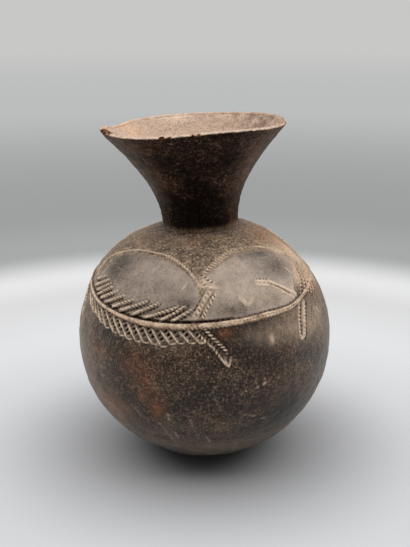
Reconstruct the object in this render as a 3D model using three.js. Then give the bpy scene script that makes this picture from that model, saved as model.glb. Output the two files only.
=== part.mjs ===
// Low-fired earthenware jar, built by hand from coils: a round body on a small resting face, a narrow
// neck that flares into a wide funnel mouth, and an applied band of clay round the shoulder.
// Millimetres, +Z up. The origin is the middle of the resting face, and the decorated front faces -Y.
import * as THREE from "three";
import { mergeVertices } from "three/addons/utils/BufferGeometryUtils.js";

// Body, two rounded quarters that meet at the widest ring
const BELLY_RADIUS = 104;
const BELLY_HEIGHT = 94.8;
const REST_RADIUS = 31;
const DOME_RISE = 98.3;
const LOWER_FULLNESS = 1.95;
const UPPER_FULLNESS = 2.15;
const BODY_WALL = 7;
const FLOOR_THICKNESS = 9;
const SHOULDER_THICKNESS = 7;

// Neck and funnel mouth
const NECK_ROOT_RADIUS = 30.2;
const COLLAR_HEIGHT = 2.7;
const FUNNEL_HEIGHT = 76.8;
const MOUTH_RADIUS = 73.2;
const NECK_STRAIGHTNESS = 36.7;
const LIP_UPTURN = 8;
const LIP_UPTURN_ANGLE = 31.7;
const NECK_WALL = 6.2;
const LIP_WALL = 4.8;
const LIP_CROWN = 1.5;

// Heights of the coils, each set on the one below it
const BOWL_COIL = 52;
const LOWER_BELLY_COIL = 36;
const UPPER_BELLY_COIL = 34;
const LOWER_SHOULDER_COIL = 33;
const NECK_ROOT_COIL = 26;
const NECK_COIL = 20;
const FUNNEL_COIL = 16;

// The jar leans to the left as it rises: its middle line drifts, and its rings tip towards the neck
const LEAN_ANGLE = 3.47;
const LEAN_DRIFT = 3.35;
const DRIFT_POWER = 1.2;
const TIP_POWER = 9.6;

// Hand-made unevenness of the mouth, as waves round the rim: count, size and place of the crest
const RIM_HEIGHT_WAVES = [
  { count: 1, size: 1.1, crest: -154.7 },
  { count: 3, size: 0.57, crest: 50.5 },
  { count: 4, size: 0.52, crest: 12.4 },
];
const RIM_RADIUS_WAVES = [
  { count: 1, size: 1.24, crest: -150 },
  { count: 2, size: 0.98, crest: 71.1 },
  { count: 3, size: 0.44, crest: -18.9 },
  { count: 4, size: 0.52, crest: -40.4 },
];

// Applied band on the shoulder, a strip of clay pressed on by eye: higher on the right, lowest in front.
// Its course is the height of its middle every 15 degrees from the front, going round to the right.
const BAND_WIDTH = 5.2;
const BAND_RELIEF = 1.6;
const BAND_SEAT_GAP = 0.3;
const BAND_COURSE = [
  138.3, 139.9, 141.7, 142.6, 147.2, 150.6, 152.3, 151.8,
  150.2, 148.6, 147.4, 146.8, 146.6, 146.9, 147.5, 148.2,
  148.8, 149.2, 148.6, 144.6, 140.6, 138.3, 137, 137.1,
];

// Fineness of the solids
const SEGMENTS = 60;
const OUTER_STEPS = 5;
const INNER_STEPS = 3;
const LIP_STEPS = 4;
const BAND_STEPS = 6;

const degrees = THREE.MathUtils.degToRad;

// Radius of a rounded quarter at a distance from its widest ring
function quarterRadius(reach, rise, fullness, distance) {
  return reach * Math.max(0, 1 - (distance / rise) ** fullness) ** (1 / fullness);
}

// Distance from the widest ring at which a rounded quarter has a radius
function quarterDistance(reach, rise, fullness, radius) {
  return rise * (1 - (radius / reach) ** fullness) ** (1 / fullness);
}

const lowerRise = BELLY_HEIGHT / (1 - (REST_RADIUS / BELLY_RADIUS) ** LOWER_FULLNESS) ** (1 / LOWER_FULLNESS);
const cavityRadius = BELLY_RADIUS - BODY_WALL;
const cavityRise = DOME_RISE - SHOULDER_THICKNESS;

function outerRadius(height) {
  return height < BELLY_HEIGHT
    ? quarterRadius(BELLY_RADIUS, lowerRise, LOWER_FULLNESS, BELLY_HEIGHT - height)
    : quarterRadius(BELLY_RADIUS, DOME_RISE, UPPER_FULLNESS, height - BELLY_HEIGHT);
}

function cavityRadiusAt(height) {
  return height < BELLY_HEIGHT
    ? quarterRadius(cavityRadius, BELLY_HEIGHT - FLOOR_THICKNESS, LOWER_FULLNESS, BELLY_HEIGHT - height)
    : quarterRadius(cavityRadius, cavityRise, UPPER_FULLNESS, height - BELLY_HEIGHT);
}

// Where the neck sits on the shoulder, and where the dome of the cavity opens into the throat
const throatRadius = NECK_ROOT_RADIUS - NECK_WALL;
const seatHeight = BELLY_HEIGHT + quarterDistance(BELLY_RADIUS, DOME_RISE, UPPER_FULLNESS, NECK_ROOT_RADIUS);
const throatHeight = BELLY_HEIGHT + quarterDistance(cavityRadius, cavityRise, UPPER_FULLNESS, throatRadius);
const neckRootHeight = seatHeight + COLLAR_HEIGHT;
const mouthHeight = neckRootHeight + FUNNEL_HEIGHT;

// The funnel's outer line, from the neck's root up to the lip
const lipAngle = degrees(LIP_UPTURN_ANGLE);
const upturn = new THREE.Vector2(Math.sin(lipAngle), Math.cos(lipAngle)).multiplyScalar(LIP_UPTURN);
const funnel = new THREE.CubicBezierCurve(
  new THREE.Vector2(NECK_ROOT_RADIUS, neckRootHeight),
  new THREE.Vector2(NECK_ROOT_RADIUS, neckRootHeight + NECK_STRAIGHTNESS),
  new THREE.Vector2(MOUTH_RADIUS, mouthHeight).sub(upturn),
  new THREE.Vector2(MOUTH_RADIUS, mouthHeight),
);

const funnelOutside = (t) => funnel.getPoint(t);

// The same line on the inside, one wall away, with the wall thinning towards the lip
function funnelInside(t) {
  const along = funnel.getTangent(t);
  const wall = THREE.MathUtils.lerp(NECK_WALL, LIP_WALL, t);
  return funnel.getPoint(t).add(new THREE.Vector2(-along.y, along.x).multiplyScalar(wall));
}

// Place along the funnel at which one of its two lines reaches a height
function funnelPlace(height, line) {
  let low = 0;
  let high = 1;
  for (let halving = 0; halving < 40; halving += 1) {
    const middle = (low + high) / 2;
    if (line(middle).y < height) {
      low = middle;
    } else {
      high = middle;
    }
  }
  return (low + high) / 2;
}

// Points of a line between two places, both ends included
function stations(from, to, steps, pointAt) {
  return Array.from({ length: steps + 1 }, (_, step) => pointAt(from + ((to - from) * step) / steps));
}

const outerPoint = (height) => new THREE.Vector2(outerRadius(height), height);
const cavityPoint = (height) => new THREE.Vector2(cavityRadiusAt(height), height);

// Section of a body coil between two flat joints, outside going up and inside coming down
function coilSection(bottom, top) {
  return [
    ...stations(bottom, top, OUTER_STEPS, outerPoint),
    ...stations(top, bottom, INNER_STEPS, cavityPoint),
  ];
}

// Section of the pinched bowl, from the middle of its resting face to the middle of its floor.
// The points are spaced by angle round the quarter, so that they crowd where it is flattest.
function bowlSection(top) {
  const floorRise = BELLY_HEIGHT - FLOOR_THICKNESS;
  const outer = (turn) => outerPoint(BELLY_HEIGHT * (1 - Math.sin(turn)));
  const inner = (turn) => cavityPoint(BELLY_HEIGHT - floorRise * Math.sin(turn));
  const outerTop = Math.asin((BELLY_HEIGHT - top) / BELLY_HEIGHT);
  const innerTop = Math.asin((BELLY_HEIGHT - top) / floorRise);
  return [
    new THREE.Vector2(0, 0),
    ...stations(Math.PI / 2, outerTop, OUTER_STEPS + 1, outer),
    ...stations(innerTop, Math.PI / 2, OUTER_STEPS, inner),
  ];
}

// Section of the coil that closes the shoulder, with the seat of the neck and the edge of the throat
function closingSection(bottom) {
  const turnOf = (height, rise) => Math.asin((height - BELLY_HEIGHT) / rise);
  const outer = (turn) => outerPoint(BELLY_HEIGHT + DOME_RISE * Math.sin(turn));
  const inner = (turn) => cavityPoint(BELLY_HEIGHT + cavityRise * Math.sin(turn));
  return [
    ...stations(turnOf(bottom, DOME_RISE), turnOf(seatHeight, DOME_RISE), OUTER_STEPS, outer),
    new THREE.Vector2(throatRadius, seatHeight),
    ...stations(turnOf(throatHeight, cavityRise), turnOf(bottom, cavityRise), INNER_STEPS + 1, inner),
  ];
}

// Section of the neck's first coil, a straight collar on the seat and then the start of the flare
function neckRootSection(top) {
  return [
    new THREE.Vector2(throatRadius, seatHeight),
    new THREE.Vector2(NECK_ROOT_RADIUS, seatHeight),
    ...stations(0, top, OUTER_STEPS, funnelOutside),
    ...stations(top, 0, INNER_STEPS, funnelInside),
  ];
}

function funnelSection(bottom, top) {
  return [
    ...stations(bottom, top, INNER_STEPS, funnelOutside),
    ...stations(top, bottom, INNER_STEPS, funnelInside),
  ];
}

// Section of the last coil, whose lip is a low crown from the outer line over to the inner one
function rimSection(bottom) {
  const insideEnd = funnelPlace(mouthHeight, funnelInside);
  const innerRadius = funnelInside(insideEnd).x;
  const middle = (MOUTH_RADIUS + innerRadius) / 2;
  const crown = (turn) => new THREE.Vector2(
    middle + (MOUTH_RADIUS - middle) * Math.cos(turn),
    mouthHeight + LIP_CROWN * Math.sin(turn),
  );
  return [
    ...stations(bottom, 1, INNER_STEPS, funnelOutside).slice(0, -1),
    ...stations(0, Math.PI, LIP_STEPS, crown),
    ...stations(insideEnd, bottom, INNER_STEPS, funnelInside).slice(1),
  ];
}

const wave = (waves, angle) => waves.reduce(
  (sum, { count, size, crest }) => sum + size * Math.cos(count * (angle - degrees(crest))),
  0,
);

// The mouth's waves, nothing at the rim coil's joint and in full at the lip
function uneven(point, start) {
  const share = THREE.MathUtils.clamp((point.z - start) / (mouthHeight - start), 0, 1) ** 2;
  const angle = Math.atan2(point.y, point.x);
  const radius = Math.hypot(point.x, point.y) + share * wave(RIM_RADIUS_WAVES, angle);
  point.set(
    radius * Math.cos(angle),
    radius * Math.sin(angle),
    point.z + share * wave(RIM_HEIGHT_WAVES, angle),
  );
}

// Leans the upright form: the middle line drifts above the widest ring, and above the neck's root it
// runs straight at the lean angle, with every ring square to it
function lean(point) {
  const share = THREE.MathUtils.clamp((point.z - BELLY_HEIGHT) / (neckRootHeight - BELLY_HEIGHT), 0, 1);
  const tip = degrees(LEAN_ANGLE) * share ** TIP_POWER;
  const above = Math.max(0, point.z - neckRootHeight);
  const drift = LEAN_DRIFT * share ** DRIFT_POWER + above * Math.sin(degrees(LEAN_ANGLE));
  const height = point.z - above + above * Math.cos(degrees(LEAN_ANGLE));
  point.set(point.x * Math.cos(tip) - drift, point.y, height + point.x * Math.sin(tip));
}

// A closed section turned round the axis, with each point then moved, and one vertex at each corner
function turned(section, move) {
  const geometry = new THREE.LatheGeometry(section, SEGMENTS).rotateX(Math.PI / 2);
  const vertices = geometry.getAttribute("position");
  const point = new THREE.Vector3();
  for (let index = 0; index < vertices.count; index += 1) {
    point.fromBufferAttribute(vertices, index);
    move(point);
    lean(point);
    vertices.setXYZ(index, point.x, point.y, point.z);
  }
  geometry.deleteAttribute("normal");
  geometry.deleteAttribute("uv");
  const merged = mergeVertices(geometry);
  const corners = merged.getIndex().array;
  const kept = [];
  for (let first = 0; first < corners.length; first += 3) {
    const [a, b, c] = corners.slice(first, first + 3);
    if (a !== b && b !== c && c !== a) {
      kept.push(a, b, c);
    }
  }
  merged.setIndex(kept);
  merged.computeVertexNormals();
  return merged;
}

const jar = new THREE.Group();
const FIRED_CLAY = { roughness: 0.78, metalness: 0 };

// Adds one piece of the jar. A ring's section is closed back to its first point.
function addPiece(name, colour, section, move = () => {}) {
  const onAxis = section[0].x === 0;
  const closed = onAxis ? section : [...section, section[0]];
  const material = new THREE.MeshStandardMaterial({ color: colour, ...FIRED_CLAY });
  const piece = new THREE.Mesh(turned(closed, move), material);
  piece.name = name;
  jar.add(piece);
}

// Body coils, from the bowl up to the seat of the neck
const BODY_BROWN = 0x463b32;
const SHOULDER_BROWN = 0x5e5145;
const bowlTop = BOWL_COIL;
const lowerBellyTop = bowlTop + LOWER_BELLY_COIL;
const upperBellyTop = lowerBellyTop + UPPER_BELLY_COIL;
const lowerShoulderTop = upperBellyTop + LOWER_SHOULDER_COIL;
addPiece("base_bowl", BODY_BROWN, bowlSection(bowlTop));
addPiece("lower_belly_coil", BODY_BROWN, coilSection(bowlTop, lowerBellyTop));
addPiece("upper_belly_coil", BODY_BROWN, coilSection(lowerBellyTop, upperBellyTop));
addPiece("lower_shoulder_coil", SHOULDER_BROWN, coilSection(upperBellyTop, lowerShoulderTop));
addPiece("upper_shoulder_coil", SHOULDER_BROWN, closingSection(lowerShoulderTop));

// Neck coils, from the collar up to the lip
const NECK_BLACK = 0x2b231f;
const RIM_BROWN = 0x4a3a30;
const rootTop = funnelPlace(neckRootHeight + NECK_ROOT_COIL, funnelOutside);
const neckTop = funnelPlace(neckRootHeight + NECK_ROOT_COIL + NECK_COIL, funnelOutside);
const funnelTop = funnelPlace(neckRootHeight + NECK_ROOT_COIL + NECK_COIL + FUNNEL_COIL, funnelOutside);
const unevenFrom = funnelInside(funnelTop).y;
addPiece("neck_root_coil", NECK_BLACK, neckRootSection(rootTop));
addPiece("neck_coil", NECK_BLACK, funnelSection(rootTop, neckTop));
addPiece("funnel_coil", NECK_BLACK, funnelSection(neckTop, funnelTop));
addPiece("mouth_rim", RIM_BROWN, rimSection(funnelTop), (point) => uneven(point, unevenFrom));

// A smooth line through the heights of the band's course, run on past both ends so that it closes
const courseLength = BAND_COURSE.length;
const courseRunOn = [...BAND_COURSE.slice(-1), ...BAND_COURSE, ...BAND_COURSE.slice(0, 2)];
const bandLine = new THREE.SplineCurve(courseRunOn.map((height, place) => new THREE.Vector2(place, height)));

// Height of the band's middle at an angle round the jar, 0 at its right side
function bandHeight(angle) {
  const fullTurn = degrees(360);
  const fromFront = (angle + fullTurn + degrees(90)) % fullTurn;
  const place = 1 + (courseLength * fromFront) / fullTurn;
  return bandLine.getPoint(place / (courseRunOn.length - 1)).y;
}

// Lays a point of the band's straight section on the shoulder: its height counts along the surface
// and its radius counts out from it
function layOnShoulder(point) {
  const angle = Math.atan2(point.y, point.x);
  const middle = bandHeight(angle);
  const out = Math.hypot(point.x, point.y) - BELLY_RADIUS + BAND_SEAT_GAP;
  const nudge = 0.1;
  const slope = (outerRadius(middle + nudge) - outerRadius(middle - nudge)) / (2 * nudge);
  const length = Math.hypot(slope, 1);
  const height = middle + point.z / length;
  const radius = outerRadius(height) + out / length;
  point.set(radius * Math.cos(angle), radius * Math.sin(angle), height - (out * slope) / length);
}

// Section of the band, a flat back and a rounded crown
const BAND_TAN = 0x8a7159;
const halfBand = BAND_WIDTH / 2;
const bandSection = stations(-Math.PI / 2, Math.PI / 2, BAND_STEPS, (turn) => new THREE.Vector2(
  BELLY_RADIUS + BAND_RELIEF * Math.cos(turn),
  halfBand * Math.sin(turn),
));
addPiece("shoulder_band", BAND_TAN, bandSection, layOnShoulder);

export default jar;
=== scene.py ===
# Hand-built earthenware jar: a round smoked body on a small resting face, a sooted funnel neck with a pale
# mouth, and cord-marked arches, ropes and a raised band round its shoulder. Metres in the scene, mm in the text.
import math
import bpy
import numpy as np
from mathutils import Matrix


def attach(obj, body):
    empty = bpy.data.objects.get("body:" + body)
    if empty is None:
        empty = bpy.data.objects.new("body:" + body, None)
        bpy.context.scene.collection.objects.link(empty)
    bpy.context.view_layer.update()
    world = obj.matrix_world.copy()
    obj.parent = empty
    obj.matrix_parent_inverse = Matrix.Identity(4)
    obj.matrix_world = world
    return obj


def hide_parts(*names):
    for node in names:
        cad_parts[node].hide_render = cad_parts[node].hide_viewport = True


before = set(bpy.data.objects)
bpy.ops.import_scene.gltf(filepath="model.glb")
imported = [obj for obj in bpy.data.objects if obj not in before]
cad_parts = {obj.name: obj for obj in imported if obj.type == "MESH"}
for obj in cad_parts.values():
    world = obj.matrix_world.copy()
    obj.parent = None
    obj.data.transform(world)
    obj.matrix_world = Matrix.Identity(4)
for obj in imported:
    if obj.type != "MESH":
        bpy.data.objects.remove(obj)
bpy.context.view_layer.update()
scene = bpy.context.scene
scene.view_settings.view_transform = "Standard"

# Camera: a phone held a forearm away and a little above the mouth, looking down on the shoulder. Its place is in
# metres, its tilt in degrees below level, and its lens and sensor in mm.
CAMERA_PLACE = (0.00034, -0.6438, 0.3513)
CAMERA_DOWN = 17.563
CAMERA_LENS = 54.1
CAMERA_SENSOR = 36.0

camera_data = bpy.data.cameras.new("Camera")
camera_data.lens = CAMERA_LENS
camera_data.sensor_width = CAMERA_SENSOR
camera_data.sensor_fit = "AUTO"
camera = bpy.data.objects.new("Camera", camera_data)
camera.location = CAMERA_PLACE
camera.rotation_euler = (math.radians(90 - CAMERA_DOWN), 0, 0)
scene.collection.objects.link(camera)
scene.camera = camera


# Bowl: the ball of clay that the potter pinches and beats out first, round underneath but for a worn resting
# face. Low-fired clay, burnished with a pebble and blackened in an open fire, so its colour drifts in clouds.
BELLY_RADIUS = 104.0
BELLY_HEIGHT = 94.8
REST_RADIUS = 31.0
DOME_RISE = 98.3
LOWER_FULLNESS = 1.95
UPPER_FULLNESS = 2.15
BODY_WALL = 7.0
FLOOR_THICKNESS = 9.0
SHOULDER_THICKNESS = 7.0
NECK_ROOT_RADIUS = 30.2
COLLAR_HEIGHT = 2.7
BOWL_TOP = 52.0
LOWER_RISE = BELLY_HEIGHT / (1 - (REST_RADIUS / BELLY_RADIUS) ** LOWER_FULLNESS) ** (1 / LOWER_FULLNESS)
SEAT_HEIGHT = BELLY_HEIGHT + DOME_RISE * (
    1 - (NECK_ROOT_RADIUS / BELLY_RADIUS) ** UPPER_FULLNESS) ** (1 / UPPER_FULLNESS)
NECK_ROOT_HEIGHT = SEAT_HEIGHT + COLLAR_HEIGHT
LEAN_ANGLE = math.radians(3.47)
LEAN_DRIFT = 3.35
DRIFT_POWER = 1.2
TIP_POWER = 9.6
# Places where the beaten body departs from round: side, height, reach up and down, and how far it moves, mm
OUT_OF_ROUND = ((-1, 132.0, 15.0, 1.7), (1, 27.0, 14.0, 1.6))


def ease(value, low, high):
    """0 up to low, 1 from high on, and 3u²−2u³ between them, with u the share of the way."""
    share = np.clip((value - low) / (high - low), 0, 1)
    return share * share * (3 - 2 * share)


def hump(value, middle, reach):
    """A soft hump: exp(−((value − middle)/reach)²)."""
    return np.exp(-((value - middle) / reach) ** 2)


def quarter(reach, rise, fullness, distance):
    """Radius of a rounded quarter: reach times (1 − (distance/rise)^n)^(1/n), with n its fullness."""
    return reach * np.maximum(0, 1 - (distance / rise) ** fullness) ** (1 / fullness)


def outer_radius(height):
    """The body's outer line: a lower and an upper rounded quarter that meet at the widest ring."""
    below = quarter(BELLY_RADIUS, LOWER_RISE, LOWER_FULLNESS, np.maximum(0, BELLY_HEIGHT - height))
    above = quarter(BELLY_RADIUS, DOME_RISE, UPPER_FULLNESS, np.maximum(0, height - BELLY_HEIGHT))
    return np.where(height < BELLY_HEIGHT, below, above)


def cavity_radius(height):
    """The cavity's line: the same two quarters, a wall thinner."""
    reach = BELLY_RADIUS - BODY_WALL
    floor_rise = BELLY_HEIGHT - FLOOR_THICKNESS
    below = quarter(reach, floor_rise, LOWER_FULLNESS, np.clip(BELLY_HEIGHT - height, 0, floor_rise))
    above = quarter(reach, DOME_RISE - SHOULDER_THICKNESS, UPPER_FULLNESS, np.maximum(0, height - BELLY_HEIGHT))
    return np.where(height < BELLY_HEIGHT, below, above)


def climb(line, low, high, step):
    """Heights from low to high at which the line has gone another equal step, about step mm, along itself."""
    crowded = 0.5 - 0.5 * np.cos(np.linspace(0, np.pi, 4001))
    height = low + (high - low) * crowded
    length = np.concatenate([[0], np.cumsum(np.hypot(np.diff(line(height)), np.diff(height)))])
    count = int(np.ceil(length[-1] / step)) + 1
    return np.interp(np.linspace(0, length[-1], count), length, height)


def around(front_step, back_step, front=86.0):
    """Angles of the columns, degrees from the front and growing to the right: finer over the drawn front."""
    fine = 4 * round(2 * front / front_step / 4)
    coarse = 4 * round((360 - 2 * front) / back_step / 4)
    return np.concatenate([
        np.linspace(-front, front, fine, endpoint=False),
        np.linspace(front, 360 - front, coarse, endpoint=False),
    ])


def spun(radius, height, angles):
    """Points of a profile turned round the axis: (r sin a, −r cos a, z) for every row and column."""
    turn = np.radians(angles)[None, :]
    radius, height = radius[:, None], height[:, None]
    return np.stack(np.broadcast_arrays(radius * np.sin(turn), -radius * np.cos(turn), height), -1)


def facing(radius, height, angles, line=None):
    """Outward normals of the turned profile: its direction turned a quarter outwards, then round the axis. The
    direction is the line's own slope where that is given, so that two coils agree at their joint."""
    across, up = np.gradient(radius), np.gradient(height)
    if line:
        across, up = (line(height + 0.02) - line(height - 0.02)) / 0.04, np.ones_like(height)
    length = np.hypot(across, up)
    turned = spun(up / length, np.zeros_like(radius), angles)
    turned[..., 2] = (-across / length)[:, None]
    return turned


def waver(points, size, seed):
    """Hand-made unevenness: the sum of 24 plane waves in random directions, each about size mm long."""
    rng = np.random.default_rng(seed)
    heading = rng.normal(size=(3, 24))
    heading *= 2 * np.pi / (size * rng.uniform(0.7, 1.5, 24) * np.linalg.norm(heading, axis=0))
    return np.sin(points @ heading + rng.uniform(0, 2 * np.pi, 24)).sum(-1) / math.sqrt(12)


def lean(points):
    """Leans the upright jar. From the belly up its middle line drifts left with a power of the share climbed, and
    its rings tip with a much higher one, so that the neck leans as a whole. The left shoulder is beaten a little
    flatter than the right, and the foot of the right side is fuller, each by a hump along the height."""
    x, y, z = np.moveaxis(points, -1, 0)
    share = np.clip((z - BELLY_HEIGHT) / (NECK_ROOT_HEIGHT - BELLY_HEIGHT), 0, 1)
    tip = LEAN_ANGLE * share ** TIP_POWER
    above = np.maximum(0, z - NECK_ROOT_HEIGHT)
    drift = LEAN_DRIFT * share ** DRIFT_POWER + above * math.sin(LEAN_ANGLE)
    height = z - above + above * math.cos(LEAN_ANGLE) + x * np.sin(tip)
    for side, middle, reach, shift in OUT_OF_ROUND:
        drift = drift - shift * hump(z, middle, reach) * ease(side * x, 15, 80)
    return np.stack([x * np.cos(tip) - drift, y, height], -1)


def strip(low, low_count, high, high_count):
    """Triangles between two rings of vertices, each given by its first index and count. The counts are equal,
    one is a whole multiple of the other, or one is a single point at a pole."""
    count = max(low_count, high_count)
    here = np.arange(count)
    after = (here + 1) % count
    if low_count == 1:
        return np.stack([np.full(count, low), high + after, high + here], -1)
    if high_count == 1:
        return np.stack([low + here, low + after, np.full(count, high)], -1)
    if low_count == high_count:
        return np.concatenate([
            np.stack([low + here, low + after, high + after], -1),
            np.stack([low + here, high + after, high + here], -1),
        ])
    fewer = min(low_count, high_count)
    share = count // fewer
    near = (here // share + (here % share >= share // 2)) % fewer
    start = np.arange(fewer)
    end = (start + 1) % fewer
    middle = start * share + share // 2
    if low_count > high_count:
        fan = np.stack([low + here, low + after, high + near], -1)
        wedge = np.stack([low + middle, high + end, high + start], -1)
    else:
        fan = np.stack([low + near, high + after, high + here], -1)
        wedge = np.stack([low + start, low + end, high + middle], -1)
    return np.concatenate([fan, wedge])


TONES = ("rubbed", "pitted", "burnished", "dusty", "oxidised", "sooted", "inside", "sandy")


def clay_piece(name, rows, tones, ring, edges, material):
    """A closed clay skin through rows of points, in mm, outside going up and inside coming down. A ring closes
    on its first row. Tones give each row its finish at every vertex, and edges name the sharp rows."""
    counts = [len(row) for row in rows]
    first = np.concatenate([[0], np.cumsum(counts)])
    pairs = [(i, i + 1) for i in range(len(rows) - 1)] + ([(len(rows) - 1, 0)] if ring else [])
    faces = np.concatenate([strip(first[a], counts[a], first[b], counts[b]) for a, b in pairs])
    mesh = bpy.data.meshes.new(name)
    mesh.vertices.add(first[-1])
    mesh.vertices.foreach_set("co", (np.concatenate(rows) / 1000).astype(np.float32).ravel())
    mesh.loops.add(faces.size)
    mesh.loops.foreach_set("vertex_index", faces.astype(np.int32).ravel())
    mesh.polygons.add(len(faces))
    mesh.polygons.foreach_set("loop_start", np.arange(0, faces.size, 3, dtype=np.int32))
    mesh.update(calc_edges=True)
    mesh.shade_smooth()
    ends = np.empty(2 * len(mesh.edges), np.int32)
    mesh.edges.foreach_get("vertices", ends)
    ends = ends.reshape(-1, 2)
    sharp = np.zeros(len(ends), bool)
    for row in edges:
        sharp |= ((ends >= first[row]) & (ends < first[row] + counts[row])).all(-1)
    mesh.attributes.new("sharp_edge", "BOOLEAN", "EDGE").data.foreach_set("value", sharp)
    for tone in TONES:
        values = np.concatenate([np.broadcast_to(t.get(tone, 0.0), count) for t, count in zip(tones, counts)])
        mesh.attributes.new(tone, "FLOAT", "POINT").data.foreach_set("value", values.astype(np.float32))
    mesh.materials.append(material)
    piece = bpy.data.objects.new(name, mesh)
    scene.collection.objects.link(piece)
    return piece


def by_row(tones, count):
    """Turns tones over a whole grid into one set of tones for each row."""
    return [{tone: value[i] for tone, value in tones.items()} for i in range(count)]


def linear(colour):
    """Linear RGBA of an sRGB hex colour: each part over 12.92 up to 0.04045, and ((part + 0.055)/1.055)^2.4 above."""
    parts = [int(colour[i:i + 2], 16) / 255 for i in (1, 3, 5)]
    return (*(c / 12.92 if c <= 0.04045 else ((c + 0.055) / 1.055) ** 2.4 for c in parts), 1.0)


def add(tree, kind, inputs=None, out=0, **settings):
    """Adds one node with its settings and a value or a link for each named or numbered socket, and gives the
    output asked for, by name or number."""
    node = tree.nodes.new("ShaderNode" + kind)
    for setting, value in settings.items():
        setattr(node, setting, value)
    for socket, value in (inputs or {}).items():
        if isinstance(value, bpy.types.NodeSocket):
            tree.links.new(value, node.inputs[socket])
        else:
            node.inputs[socket].default_value = value
    return node.outputs[out] if node.outputs else None


# The clay's patterns: size in metres, detail, and how each is drawn out along X, Y and Z. Real sand and grit are
# under half a millimetre, finer than the picture shows, so they are drawn coarser here.
NOISES = (
    ("cloud", 0.030, 4, (1, 1, 1)),
    ("mottle", 0.007, 4, (1, 1, 1)),
    ("dapple", 0.0026, 2, (1, 1, 1)),
    ("grain", 0.0015, 3, (1, 1, 1)),
    ("sand", 0.0018, 2, (1, 1, 1)),
    ("streak", 0.003, 3, (1, 1, 0.12)),
)
# Size of the grit, which only roughens the surface
GRIT = 0.0009
# Sand grains and pores: pattern, where it starts and is full, most it covers, and colour
SPECKS = (("sand", 0.56, 0.68, 0.85, "#b9a087"), ("grain", 0.46, 0.34, 0.80, "#0a0503"))
# The sandy tone at which no speck shows. At 0, an eighth of them do.
NO_SAND = -0.136
# Finish over the bare clay, from the lowest layer up: vertex tone, colour, most it covers, how patchy it lies
LAYERS = (
    ("burnished", "#e2cdba", 0.90, 0.20),
    ("dusty", "#c4a788", 0.88, 0.62),
    ("inside", "#d8bda8", 0.97, 0.27),
    ("oxidised", "#a8642f", 0.85, 0.60),
    # On the neck this layer also carries painted shade
    ("sooted", "#0e0603", 0.99, 0.14),
    # Dark in pits, grooves and creases: partly dirt, partly painted shade
    ("pitted", "#2c1507", 0.98, 0.08),
    # Pale on worn crests; on the band's upper half and the lip's crown partly a painted highlight
    ("rubbed", "#fbdfc2", 0.97, 0.52),
)
# How much each pattern counts in the drift between the two browns
DRIFT = (("cloud", 0.65), ("mottle", 0.50), ("dapple", 0.70), ("grain", 1.75))
# Drift up to which the clay is dark and from which it is light
DARK_UP_TO = 1.78
LIGHT_FROM = 2.20
# Levels of a pattern below which a layer is at its thinnest and above which it is at its thickest
THIN_UP_TO = 0.38
THICK_FROM = 0.60
# Relief too fine for the mesh: pattern, strength, and depth in metres
FINE_RELIEF = (("streak", 0.25, 0.0004), ("grain", 0.55, 0.0005), ("grit", 0.35, 0.0003))
# Roughness of dust, pits, rubbed crests and the inside
DULL = 0.92
# A mix of two colours, whose result is the third output
COLOUR_MIX = {"out": 2, "data_type": "RGBA"}


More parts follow.
